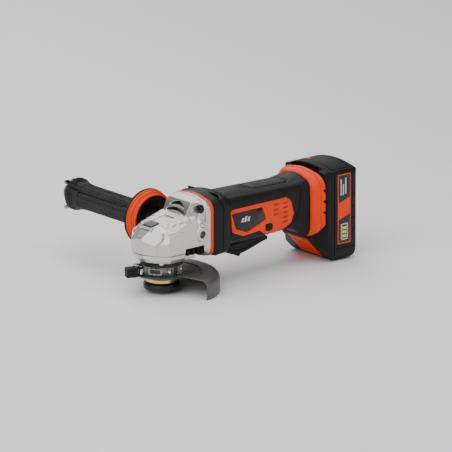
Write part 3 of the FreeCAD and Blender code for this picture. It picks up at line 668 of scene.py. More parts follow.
CELL = Finish("cell_sleeve", "cell_wrap", (0.03, 0.16, 0.34), (0.03, 0.13, 0.3), (0.1, 0.3, 0.5),
              roughness=0.3, grain_size=900.0, grain_depth=0.05)

SLOT_FINISH = {f.slot: f for f in (CAST_ALUMINIUM, STEEL, BLACK_STEEL, GUARD_COAT, ZINC, BRASS,
                                   ORANGE, BLACK, RUBBER, GLOSS, GREY, COPPER, CELL)}


# ------------------------------------------------------------------------------ pieces


class Assembly:
    """A group of pieces that are built together and ride on one or more bodies."""

    def add(self, piece: bpy.types.Object, finish: Finish, body: str, *nodes: str) -> bpy.types.Object:
        """Dress a finished piece, hang it on its body and hide the nodes it stands for."""
        piece.data.materials.clear()
        piece.data.materials.append(finish.material())
        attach(piece, body)
        if nodes:
            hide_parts(*nodes)
        LOG.info("%s on %s, %d faces", piece.name, body, len(piece.data.polygons))
        return piece


@dataclass
class GearHead(Assembly):
    """Cast head: housing, bearing cover, screws, lock button and gasket ring."""

    seam_z: float = 36.5
    slope: float = 0.186
    nose: Outline = field(default_factory=lambda: [
        (-15, 34), (-25.3, 22.6), (-28, 18.5), (-33, 8), (-34, 0),
        (-33, -8), (-28, -18.5), (-25.3, -22.6), (-15, -34)])
    shoulders: tuple = ((15.0, 70.5, 22.0, 68.0, 0.2), (22.0, 68.0, 30.0, 61.2, 0.12),
                        (30.0, 61.2, 34.2, 53.0, 0.0))
    screws: tuple = ((26.5, 83.0), (-26.5, 83.0), (26.5, 33.5), (-26.5, 33.5))
    screw_face_x: float = 33.8
    cover_screw_circle: float = 27.6
    cover_screw_z: float = 25.4
    upper_vent: Outline = field(default_factory=lambda: [
        (-14, 82.2), (-9, 86.2), (0, 88.9), (9, 86.2), (14, 82.2), (7, 83.7), (0, 84.3), (-7, 83.7)])
    lower_vent: Outline = field(default_factory=lambda: [
        (-15.5, 75.8), (-15.0, 78.6), (-8, 80.9), (0, 81.8), (8, 80.9), (15.0, 78.6), (15.5, 75.8),
        (8, 77.3), (0, 77.9), (-8, 77.3)])

    def build(self) -> None:
        """Build every piece of the head."""
        self.housing()
        self.vent_grille()
        self.cover()
        self.neck_ring()
        self.long_screws()
        self.cover_screws()
        self.lock_button()
        self.gasket()

    def facet(self, body: bpy.types.Object, point: Point, along: Point, across: Point) -> None:
        """Cut a sloping facet that holds two directions through a point."""
        normal = Vector(along).cross(Vector(across))
        if normal.z < 0:
            normal = -normal
        Bench.carve(body, point, tuple(normal))

    def housing(self) -> None:
        """Faceted nose, deck, vent hump, flange and handle bosses, cast as one skin."""
        wide = self.nose + [(30, -34), (30, 34)]
        body = Bench.prism("gear_casting", wide, Axis.Z, self.seam_z + 0.25, 90.0)
        Bench.carve(body, (-15.4, 0, 68.3), (-self.slope, 0, 1))
        for side in (1, -1):
            for y1, z1, y2, z2, spread in self.shoulders:
                self.facet(body, (-5, side * y1, z1), (1, side * spread, self.slope),
                           (0, side * (y2 - y1), z2 - z1))
            Bench.carve(body, (-21, side * 9, 67.6), (-0.70, side * 0.487, 0.526))
        Bench.carve(body, (-34, 0, 55), (-0.687, 0, 0.726))
        hump = Bench.prism("vent_hump", [(8, 60), (8, 72.6), (19, 75.4), (24, 86.0), (27.5, 90.6),
                                         (32, 92.8), (39, 93.6), (39, 60)], Axis.Y, -31, 31)
        for side in (1, -1):
            Bench.carve(hump, (22, side * 21.5, 74), (-0.42, side * 1, 0.12))
            Bench.carve(hump, (30, side * 17.5, 92.0), (-0.15, side * 0.42, 0.85))
            Bench.carve(hump, (30, side * 22.5, 88.0), (-0.3, side * 0.85, 0.5))
        body = Bench.combine(body, hump, Cut.ADD)
        back = Bench.sleeve("flange_step", [Station(29.0, 33.4, self.seam_z + 0.25, 70, 1, 6),
                                            Station(36.0, 33.0, self.seam_z + 0.25, 80, 1, 6)])
        body = Bench.combine(body, back, Cut.ADD)
        plate = Bench.prism("flange_front", Station(36.0, 32.4, 27.0, 90.0, 3.4, 10.5).outline(),
                            Axis.X, 36.5, 42.5)
        body = Bench.combine(body, plate, Cut.ADD)
        rim = Bench.prism("flange_rim", Station(42.0, 33.6, 26.0, 91.2, 3.5, 11.0).outline(),
                          Axis.X, 40.8, 45.0)
        body = Bench.combine(body, rim, Cut.ADD)
        for side in (1, -1):
            low = 29.0 if side > 0 else -35.6
            boss = Bench.drum("port_boss", 8.2, (HANDLE_X, low, HANDLE_Z), 6.6, Axis.Y)
            body = Bench.combine(body, boss, Cut.ADD)
        for index in range(4):
            for side in (1, -1):
                bar = self.louver(index, side)
                body = Bench.combine(body, bar, Cut.ADD)
        frame = Bench.block("button_frame", (-24.2, -10.6, 60), (-7.2, 10.6, 71.3))
        Bench.carve(frame, (-15.4, 0, 69.0), (-self.slope, 0, 1))
        body = Bench.combine(body, frame, Cut.ADD)
        for cutter in self.cutters():
            body = Bench.combine(body, cutter, Cut.REMOVE)
        beads = []
        for side in (1, -1):
            corner = (-25.2, side * 22.5, 48.8)
            shelf = (-20.2, side * 26.2, 57.4)
            beads.append(Bench.rod("bead", (-25.2, side * 22.5, self.seam_z + 0.8), corner, 0.95))
            beads.append(Bench.rod("bead", corner, shelf, 0.9))
            beads.append(Bench.rod("bead", shelf, (-15.0, side * 21.6, 63.2), 0.9))
        Bench.join(body, *beads)
        Bench.cast(body, 0.6, 3, 0.7)
        self.add(body, CAST_ALUMINIUM, "tool", "gear_housing")

    def louver(self, index: int, side: int) -> bpy.types.Object:
        """One raised bar of the row beside the deck."""
        x = -12.0 + 8.6 * index
        rise = self.slope * (x + 5)
        y = 16.0 + 0.2 * (x + 5)
        outline = [(side * y, 69.6 + rise), (side * (y + 6.6), 67.2 + rise),
                   (side * (y + 6.4), 68.8 + rise), (side * (y + 0.4), 71.5 + rise)]
        bar = Bench.prism("louver", outline, Axis.X, x, x + 6.8)
        Bench.swing(bar, -10.5, (x, 0, 69.6 + rise), Axis.Y)
        return bar

    def cutters(self) -> list[bpy.types.Object]:
        """Everything that is cut into the casting."""
        tools = [Bench.prism("upper_slot", self.upper_vent, Axis.X, 15, 31.5),
                 Bench.prism("lower_slot", self.lower_vent, Axis.X, 15, 31.5)]
        pocket = Bench.block("button_pocket", (-22.6, -9.0, 64.2), (-8.8, 9.0, 80))
        panel = Bench.block("deck_panel", (-5.6, -9.2, 68.4), (12.4, 9.2, 90))
        Bench.swing(panel, -10.5, (-5.6, 0, 68.4), Axis.Y)
        tools += [pocket, panel]
        for side in (1, -1):
            low = -38.0 if side < 0 else 21.2
            tools.append(Bench.drum("port", 4.2, (HANDLE_X, low, HANDLE_Z), 16.8, Axis.Y))
            ring = [(6.0, -1.2), (6.9, -1.2), (6.9, 1.2), (6.0, 1.2)]
            tools.append(Bench.turned("port_groove", ring, (HANDLE_X, side * 35.8, HANDLE_Z), Axis.Y, 48))
            tools.append(Bench.rod("crease", (-20, side * 28.4, 58.9), (36, side * 33.6, 67.0), 0.85))
            low, high = flank(side, 26.8, 40)
            tools.append(Bench.block("outlet", (8.0, low, 20), (36.8, high, 41.5)))
            low, high = flank(side, 28.4, 40)
            tools.append(Bench.block("channel", (32.0, low, 66.8), (39.4, high, 80)))
        for y, z in self.screws:
            tools.append(Bench.drum("screw_well", 4.8, (15, y, z), 23.0, Axis.X))
        return tools

    def vent_grille(self) -> None:
        """Black sheets and fins behind the deck slots and the side outlets: painted shade for the dark
        hollows inside the vents.
        """
        # painted shade: these black pieces stand in for the shadowed hollow behind each vent
        shade_backing = Bench.prism("vent_grille", self.upper_vent, Axis.X, 29.6, 31.7)
        lower = Bench.prism("lower_web", self.lower_vent, Axis.X, 29.0, 31.7)
        shade_pieces = [lower]
        for side in (1, -1):
            low, high = flank(side, 23.0, 27.2)
            shade_pieces.append(Bench.block("outlet_web", (7.6, low, 31.5), (37.0, high, 41.9)))
            for x in (14.0, 21.0, 28.0):
                fin = flank(side, 27.0, 30.5)
                shade_pieces.append(Bench.block("outlet_fin", (x, fin[0], 32.0), (x + 1.4, fin[1], 41.7)))
        Bench.join(shade_backing, *shade_pieces)
        Bench.round_edges(shade_backing, 0.25, 2)
        self.add(shade_backing, BLACK, "tool")

    def cover(self) -> None:
        """Bearing cover: the nose's outline, drawn in below, with the guard's neck under it."""
        wide = [(x * 0.985, y * 0.985) for x, y in self.nose] + [(30, -33.4), (30, 33.4)]
        body = Bench.prism("bearing_cover_casting", wide, Axis.Z, 32.0, self.seam_z - 0.1)
        Bench.take(body)
        bpy.ops.object.mode_set(mode="EDIT")
        bpy.ops.mesh.select_mode(type="FACE")
        bpy.ops.mesh.select_all(action="DESELECT")
        shape = bmesh.from_edit_mesh(body.data)
        for face in shape.faces:
            face.select = face.normal.z < -0.9
        bmesh.update_edit_mesh(body.data)
        bpy.ops.mesh.extrude_region_move(TRANSFORM_OT_translate={"value": (0, 0, -4.4 * MM)})
        bpy.ops.transform.resize(value=(0.92, 0.92, 1), center_override=(0, 0, 27.6 * MM))
        bpy.ops.mesh.select_mode(type="VERT")
        bpy.ops.object.mode_set(mode="OBJECT")
        Bench.carve(body, (29.6, 0, 30), (1, 0, 0))
        for side in (1, -1):
            low, high = flank(side, 26.8, 40)
            cutter = Bench.block("outlet", (8.0, low, 20), (36.8, high, 45))
            body = Bench.combine(body, cutter, Cut.REMOVE)
        neck = Bench.turned("neck", [(14, 11), (22.2, 11), (22.5, 11.3), (22.5, 28), (14, 28)],
                            SPINDLE, Axis.Z)
        Bench.join(body, neck)
        Bench.cast(body, 0.6, 3, 0.6)
        self.add(body, CAST_ALUMINIUM, "tool", "bearing_cover")

    def neck_ring(self) -> None:
        """Black stop ring between the cover and the guard's band."""
        ring = Bench.turned("neck_ring", [(22.55, 21.4), (24.3, 21.4), (24.6, 21.8), (24.6, 24.2),
                                          (23.9, 24.6), (23.9, 27.2), (22.55, 27.4)], SPINDLE, Axis.Z)
        Bench.round_edges(ring, 0.2, 2)
        Bench.shade(ring)
        self.add(ring, BLACK_STEEL, "tool")

    def socket_screw(self, name: str, radius: float, height: float) -> bpy.types.Object:
        """A socket-head screw that stands on Z, its head's top at zero."""
        screw = Bench.turned(name, [(0.0, -height - 6), (radius * 0.52, -height - 6),
                                    (radius * 0.52, -height), (radius, -height),
                                    (radius, -0.5), (radius - 0.5, 0), (0.0, 0)], SPINDLE, Axis.Z, 40)
        key = Bench.drum("key", radius * 0.55, (0, 0, -height * 0.6), height, Axis.Z, sides=6)
        return Bench.combine(screw, key, Cut.REMOVE)

    def long_screws(self) -> None:
        """Four black screws through the flange, in their wells."""
        first = self.socket_screw("flange_screws", 3.9, 4.6)
        Bench.round_edges(first, 0.2, 2, angle=50)
        Bench.swing(first, -90, SPINDLE, Axis.Y)
        places = [(self.screw_face_x, y, z) for y, z in self.screws]
        screws = Bench.repeat(first, "flange_screw", places)
        screws.name = "flange_screws"
        Bench.shade(screws)
        self.add(screws, BLACK_STEEL, "tool", "housing_screws")

    def cover_screws(self) -> None:
        """Four bright screws under the bearing cover."""
        first = self.socket_screw("cover_screw", 3.1, 2.4)
        Bench.swing(first, 180, SPINDLE, Axis.X)
        turns = [math.radians(angle) for angle in (50, 130, 230, 310)]
        r = self.cover_screw_circle
        places = [(r * math.cos(a), r * math.sin(a), self.cover_screw_z) for a in turns]
        screws = Bench.repeat(first, "cover_screw", places)
        screws.name = "cover_screw_set"
        Bench.shade(screws)
        self.add(screws, ZINC, "tool", "cover_screws")

    def lock_button(self) -> None:
        """Lock button: a dished, rounded cap on its pin."""
        cap = Bench.block("lock_button_cap", (-21.7, -8.2, 66.8), (-9.6, 8.2, 73))
        Bench.carve(cap, (-15.4, 0, 70.2), (-self.slope, 0, 1))
        Bench.round_edges(cap, 2.2, 4, along=Axis.Z)
        Bench.round_edges(cap, 0.7, 3, angle=40)
        pin = Bench.drum("lock_pin", 2.5, (-12, 0, 49.6), 18, Axis.Z, 32)
        cap = Bench.combine(cap, pin, Cut.ADD)
        Bench.shade(cap, 40)
        self.add(cap, GREY, "lock_button", "spindle_lock_button")

    def gasket(self) -> None:
        """Orange ring between the flange and the motor housing."""
        ring = Bench.prism("gasket_ring", Station(45.0, 34.5, 25.3, 91.7, 3.6, 11.5).outline(),
                           Axis.X, 45.0, 49.0)
        bore = Bench.drum("bore", 28.2, (44, 0, ROTOR_Z), 6, Axis.X)
        ring = Bench.combine(ring, bore, Cut.REMOVE)
        Bench.round_edges(ring, 0.9, 3, angle=60)
        Bench.shade(ring, 40)
        self.add(ring, ORANGE, "tool", "trim_ring")


@dataclass
class Mount(Assembly):
    """What turns at the bottom of the head: flanges, nut, spindle, guard, band and clamp."""

    clamp_angle: float = 160.0
    clamp_x: float = 28.6
    clamp_y: float = 10.4
    guard_start: float = -77.0
    guard_span: float = 146.0

    def build(self) -> None:
        """Build the guard and the flanges."""
        self.guard()
        self.band()
        self.rivets()
        self.link()
        self.lever()
        self.flanges()
        self.spindle()

    def guard(self) -> None:
        """Pressed guard: round-shouldered arc with a rolled hem and a full collar."""
        profile = [(29.0, 10.0), (58.0, 10.0), (61.6, 9.7), (64.2, 8.3), (65.9, 6.2), (66.5, 3.6),
                   (66.6, -12.4), (66.2, -13.0), (63.8, -13.0), (63.5, -12.4), (63.7, -11.4), (64.8, -11.2),
                   (64.8, 2.6), (63.9, 5.0), (62.2, 6.9), (60.0, 8.0), (57.5, 8.2), (29.0, 8.2)]
        arc = Bench.turned("guard_pressing", profile, SPINDLE, Axis.Z, 64, self.guard_span, self.guard_start)
        collar = Bench.turned("collar", [(22.6, 8.3), (31.0, 8.3), (31.0, 9.4), (30.4, 9.95), (22.6, 9.95)],
                              SPINDLE, Axis.Z)
        bead = Bench.turned("bead", [(44.0, 9.2), (47.0, 9.2), (46.4, 10.6), (45.5, 10.9), (44.6, 10.6)],
                            SPINDLE, Axis.Z, 64, self.guard_span - 14, self.guard_start + 7)
        Bench.join(arc, collar, bead)
        Bench.round_edges(arc, 0.25, 2, angle=50)
        Bench.shade(arc, 35)
        self.add(arc, GUARD_COAT, "guard", "wheel_guard")

    def band(self) -> None:
        """Bright clamp band with rolled edges, keys and two lugs."""
        profile = [(22.6, 10.2), (24.5, 10.2), (24.9, 10.7), (24.9, 11.6), (24.3, 12.2), (24.3, 18.8),
                   (24.9, 19.4), (24.9, 20.4), (24.5, 20.9), (22.6, 20.9)]
        band = Bench.turned("clamp_band", profile, SPINDLE, Axis.Z)
        gap = Bench.block("gap", (15, -4, 9), (30, 4, 22))
        Bench.swing(gap, self.clamp_angle, SPINDLE, Axis.Z)
        band = Bench.combine(band, gap, Cut.REMOVE)
        slot = Bench.block("slot", (20, -6.5, 13.4), (30, 6.5, 18.2))
        Bench.round_edges(slot, 1.6, 4, along=Axis.X)
        Bench.swing(slot, 212, SPINDLE, Axis.Z)
        band = Bench.combine(band, slot, Cut.REMOVE)
        for low, high in ((4.0, 7.0), (-7.0, -4.0)):
            lug = Bench.block("lug", (23.4, low, 11.2), (31.5, high, 20.3))
            Bench.round_edges(lug, 1.6, 3, along=Axis.Y)
            Bench.swing(lug, self.clamp_angle, SPINDLE, Axis.Z)
            Bench.join(band, lug)
        Bench.round_edges(band, 0.2, 2, angle=45)
        Bench.shade(band)
        self.add(band, BAND_STEEL, "guard", "guard_band")
        backing = Bench.turned("band_slot_shadow", [(22.6, 12.6), (23.4, 12.6), (23.5, 15.0), (23.4, 19.0),
                                                    (22.6, 19.0)], SPINDLE, Axis.Z, 24, 44, 190)
        Bench.shade(backing)
        self.add(backing, BLACK_STEEL, "guard")

    def rivets(self) -> None:
        """Domed rivets on the band."""
        copies = []
        for angle in (-62, -20, 20, 62, 252):
            head = Bench.turned("rivet", [(0, 0), (2.1, 0), (2.0, 0.6), (1.5, 1.1), (0, 1.35)],
                                (24.2, 0, 15.6), Axis.X, 24)
            Bench.swing(head, angle, SPINDLE, Axis.Z)
            copies.append(head)
        rivets = Bench.join(*copies)
        rivets.name = "band_rivets"
        Bench.shade(rivets)
        self.add(rivets, ZINC, "guard", "guard_rivets")

    def link(self) -> None:
        """Wire bail and cross bolt of the quick clamp."""
        x, y = self.clamp_x, self.clamp_y
        bolt = Bench.rod("clamp_link_wire", (x, -9.0, 15.8), (x, 9.0, 15.8), 1.45, 24)
        head = Bench.turned("bolt_head", [(0, 0), (2.7, 0), (3.0, 0.4), (3.0, 1.6), (2.6, 2.0), (0, 2.0)],
                            (x, -9.0, 15.8), Axis.Y, 32)
        pin = Bench.rod("pin", (x, y, 10.2), (x, y, 21.9), 1.45, 24)
        eye = Bench.drum("eye", 2.9, (x, y, 12.7), 6.2, Axis.Z, 32)
        parts = [head, pin, eye]
        for z in (10.9, 20.8):
            parts.append(Bench.rod("bail", (x, y, z), (x + 4.5, y - 13.0, z), 0.9, 16))
        parts.append(Bench.rod("bail", (x + 4.5, y - 13.0, 10.9), (x + 4.5, y - 13.0, 20.8), 0.9, 16))
        Bench.join(bolt, *parts)
        Bench.swing(bolt, self.clamp_angle, SPINDLE, Axis.Z)
        Bench.round_edges(bolt, 0.15, 2, angle=50)
        Bench.shade(bolt)
        self.add(bolt, ZINC, "guard", "clamp_link")

    def lever(self) -> None:
        """Black finger block with a scooped grip and two cheeks."""
        x, y = self.clamp_x, self.clamp_y
        block = Bench.block("clamp_lever_block", (33.6, y - 6.4, 10.4), (47.0, y + 5.6, 21.2))
        Bench.carve(block, (47.0, y + 5.6, 21.2), (0.5, 0.5, 0.35))
        Bench.carve(block, (47.0, y - 4.5, 15), (0.7, -0.7, 0))
        Bench.round_edges(block, 0.9, 3)
        for low, high in ((10.5, 12.3), (19.3, 21.1)):
            cheek = Bench.block("cheek", (x, y - 3.2, low), (36.0, y + 3.2, high))
            Bench.join(block, cheek, Bench.drum("ear", 3.2, (x, y, low), high - low, Axis.Z, 32))
        for step in range(4):
            start = 37.0 + 2.3 * step
            grip = Bench.block("grip_rib", (start, y - 7.0, 12.0), (start + 1.1, y - 6.2, 19.6))
            Bench.join(block, grip)
        Bench.swing(block, self.clamp_angle, SPINDLE, Axis.Z)
        Bench.round_edges(block, 0.2, 2, angle=60)
        Bench.shade(block)
        self.add(block, BLACK, "clamp_lever", "clamp_lever")

    def flanges(self) -> None:
        """Two-step brass inner flange, and the black nut with its spanner holes."""
        flange = Bench.turned("inner_flange_turning", [
            (8.0, 0.1), (17.9, 0.1), (18.3, 0.5), (18.3, 3.9), (17.9, 4.4), (16.0, 4.8), (15.7, 5.2),
            (15.7, 6.0), (16.0, 6.4), (17.9, 6.8), (18.3, 7.2), (18.3, 8.6), (17.8, 9.1), (12.5, 9.5),
            (12.5, 15.0), (8.0, 15.0)], SPINDLE, Axis.Z)
        Bench.shade(flange)
        self.add(flange, BRASS, "spindle", "inner_flange")
        nut = Bench.turned("flange_nut_turning", [
            (7.1, -9.0), (13.5, -9.0), (13.9, -8.6), (16.6, -8.6), (17.0, -9.0), (19.0, -9.0), (20.6, -8.2),
            (21.0, -7.4), (21.0, -2.9), (20.5, -2.0), (19.4, -1.6), (15.5, -1.6), (15.5, -0.2), (7.1, -0.2)],
            SPINDLE, Axis.Z)
        for x in (15.0, -15.0):
            nut = Bench.combine(nut, Bench.drum("pin_hole", 2.5, (x, 0, -10), 6, Axis.Z, 32), Cut.REMOVE)
        Bench.shade(nut)
        self.add(nut, BLACK_STEEL, "flange_nut", "outer_flange_nut")

    def spindle(self) -> None:
        """Spindle with its thread cut below the flange."""
        profile = [(0, -8.5), (6.2, -8.5)]
        z = -8.0
        while z < -0.4:
            profile += [(7.0, z), (7.0, z + 0.25), (6.2, z + 0.65)]
            z += 1.0
        profile += [(7.0, 0.4), (8.0, 0.5), (8.0, 30), (6, 30), (6, 50), (5, 50), (5, 62.3), (0, 62.3)]
        shaft = Bench.turned("spindle_turning", profile, SPINDLE, Axis.Z, 64)
        Bench.shade(shaft)
        self.add(shaft, STEEL, "spindle", "spindle")


@dataclass
class SideHandle(Assembly):
    """Side handle: hub drum, trim ring, rim, ribbed grip and the spanner stowed in its end."""

    grip_start: float = 68.4
    grip_end: float = 191.0
    panels: int = 8

    @property
    def centre(self) -> Point:
        """Where the handle's axis crosses the middle plane."""
        return (HANDLE_X, 0.0, HANDLE_Z)

    def build(self) -> None:
        """Build the handle and the spanner."""
        self.hub()
        self.trim()
        self.grip()
        self.spanner()

    def hub(self) -> None:
        """Drum with a recessed face, and the hand rim behind it."""
        profile = [(4.1, 35.7), (9.0, 35.7), (10.0, 36.4), (12.6, 48.0), (15.0, 50.2), (22.0, 51.0),
                   (24.4, 50.8), (26.2, 50.9), (26.95, 51.8), (26.95, 57.0), (30.4, 62.4),
                   (32.4, 63.2), (33.0, 64.0), (33.0, 65.6), (32.2, 66.5), (24.0, 67.4), (17.0, 68.3),
                   (4.1, 68.3)]
        hub = Bench.turned("handle_hub_moulding", profile, self.centre, Axis.Y, 128)
        Bench.round_edges(hub, 0.25, 2, angle=55)
        Bench.shade(hub)
        self.add(hub, BLACK, "side_handle", "handle_hub")

    def trim(self) -> None:
        """Dished orange ring with a raised bead round its middle."""
        profile = [(27.05, 51.5), (28.3, 51.5), (28.9, 52.2), (28.9, 53.4), (28.0, 54.4), (27.9, 55.6),
                   (29.0, 56.6), (30.6, 56.8), (31.2, 57.6), (31.1, 58.8), (30.2, 59.6), (30.6, 60.8),
                   (32.1, 61.2), (32.35, 62.0), (32.3, 62.9), (30.55, 62.3), (27.05, 56.8)]
        ring = Bench.turned("handle_trim_moulding", profile, self.centre, Axis.Y, 128)
        Bench.shade(ring, 25)
        self.add(ring, ORANGE, "side_handle", "handle_trim_ring")

    def grip(self) -> None:
        """Rubber grip with long recessed panels, cross grooves and a flared lip."""
        profile = [(4.1, 68.5), (15.2, 68.5), (15.5, 69.2), (15.0, 72.0), (14.3, 76.0), (14.4, 82.0),
                   (15.2, 96.0), (15.5, 120.0), (15.3, 150.0), (15.4, 168.0), (15.9, 176.0), (17.2, 182.0),
                   (18.7, 185.4), (19.0, 186.6), (19.0, 189.8), (18.3, 190.9), (4.1, 190.9)]
        grip = Bench.turned("handle_grip_moulding", profile, self.centre, Axis.Y, 96)
        for index in range(self.panels):
            panel = Bench.block("panel", (HANDLE_X - 4.0, 84.0, HANDLE_Z + 14.7),
                                (HANDLE_X + 4.0, 172.0, HANDLE_Z + 20.0))
            Bench.round_edges(panel, 2.0, 3, along=Axis.Z)
            turn = 360.0 / self.panels * (index + 0.5)
            Bench.swing(panel, turn, self.centre, Axis.Y)
            grip = Bench.combine(grip, panel, Cut.REMOVE)
            ridges = []
            for step in range(13):
                y = 90.0 + 6.3 * step
                ridge = Bench.block("ridge", (HANDLE_X - 2.6, y, HANDLE_Z + 14.2),
                                    (HANDLE_X + 2.6, y + 2.2, HANDLE_Z + 14.98))
                Bench.swing(ridge, turn, self.centre, Axis.Y)
                ridges.append(ridge)
            Bench.join(grip, *ridges)
        Bench.round_edges(grip, 0.2, 2, angle=40)
        Bench.shade(grip, 30)
        self.add(grip, RUBBER, "side_handle", "handle_grip", "handle_stud")
        stud = Bench.turned("handle_stud_turning", [(0, 24.2), (3.4, 24.2), (4.0, 24.9), (4.0, 35.0),
                                                    (4.05, 68.0), (0, 68.0)], self.centre, Axis.Y, 40)
        Bench.shade(stud)
        self.add(stud, ZINC, "side_handle")

    def spanner(self) -> None:
        """Moulded head of the stowed pin spanner, and its forked steel blade."""
        cone = Bench.turned("spanner_head_moulding", [
            (0, 191.3), (15.6, 191.3), (16.0, 191.8), (15.4, 193.6), (13.0, 198.0), (10.2, 202.6),
            (9.0, 203.8), (0, 204.0)], self.centre, Axis.Y, 64)
        knob = Bench.block("knob", (HANDLE_X - 11, 199, HANDLE_Z - 11.5), (HANDLE_X + 3, 214, HANDLE_Z + 2))
        Bench.carve(knob, (HANDLE_X - 11, 214, HANDLE_Z - 4), (-0.6, 0.6, 0.0))
        Bench.round_edges(knob, 1.3, 3)
        notch = Bench.block("notch", (HANDLE_X - 7.5, 206, HANDLE_Z - 8.5),
                            (HANDLE_X - 0.5, 216, HANDLE_Z - 1.5))
        knob = Bench.combine(knob, notch, Cut.REMOVE)
        cone = Bench.combine(cone, knob, Cut.ADD)
        Bench.round_edges(cone, 0.25, 2, angle=55)
        Bench.shade(cone)
        self.add(cone, BLACK, "pin_spanner", "spanner_head")
        near, far = HANDLE_X - 1.5, HANDLE_X + 1.5
        fork = Bench.block("spanner_blade", (near, 112, HANDLE_Z - 8), (far, 193, HANDLE_Z + 8))
        head = Bench.block("fork", (near, 191.4, HANDLE_Z - 17.6), (far, 197.5, HANDLE_Z + 17.6))
        Bench.round_edges(head, 2.0, 3, along=Axis.X)
        fork = Bench.combine(fork, head, Cut.ADD)
        for side in (1, -1):
            pin = Bench.turned("pin", [(0, -15.0), (1.5, -15.0), (2.2, -14.3), (2.4, -13.4), (2.4, -10.0),
                                       (1.9, -9.6), (1.9, -8.6), (2.4, -8.2), (2.4, 0), (0, 0)],
                               (HANDLE_X, 194.5, HANDLE_Z + side * 15.0), Axis.X, 32)
            fork = Bench.join(fork, pin)
        Bench.round_edges(fork, 0.2, 2, angle=50)
        Bench.shade(fork)
        self.add(fork, ZINC, "pin_spanner", "pin_spanner")


BARREL = [Station(49.2, 34.0, 26.0, 91.0, 3.5, 11.0), Station(57.0, 35.5, 23.5, 92.5, 3.5, 15.0),
          Station(70.0, 35.0, 24.5, 91.5, 3.0, 18.0), Station(74.5, 32.6, 26.4, 90.2, 2.2, 22.0),
          Station(80.0, 28.5, 31.0, 86.8, 1.5, 25.0), Station(110.0, 27.9, 31.6, 86.1, 1.3, 24.7),
          Station(140.0, 27.3, 32.3, 85.3, 1.2, 24.3), Station(176.0, 26.5, 33.0, 84.5, 1.0, 24.0),
          Station(188.0, 27.0, 25.0, 86.0, 1.5, 19.0), Station(198.0, 27.5, 20.0, 87.5, 2.0, 13.0),
          Station(212.4, 27.5, 20.0, 87.5, 2.0, 13.0)]
UNDERCUT_POINT = (197.0, 0.0, 19.0)
UNDERCUT_NORMAL = (1.0, 0.0, -1.0)


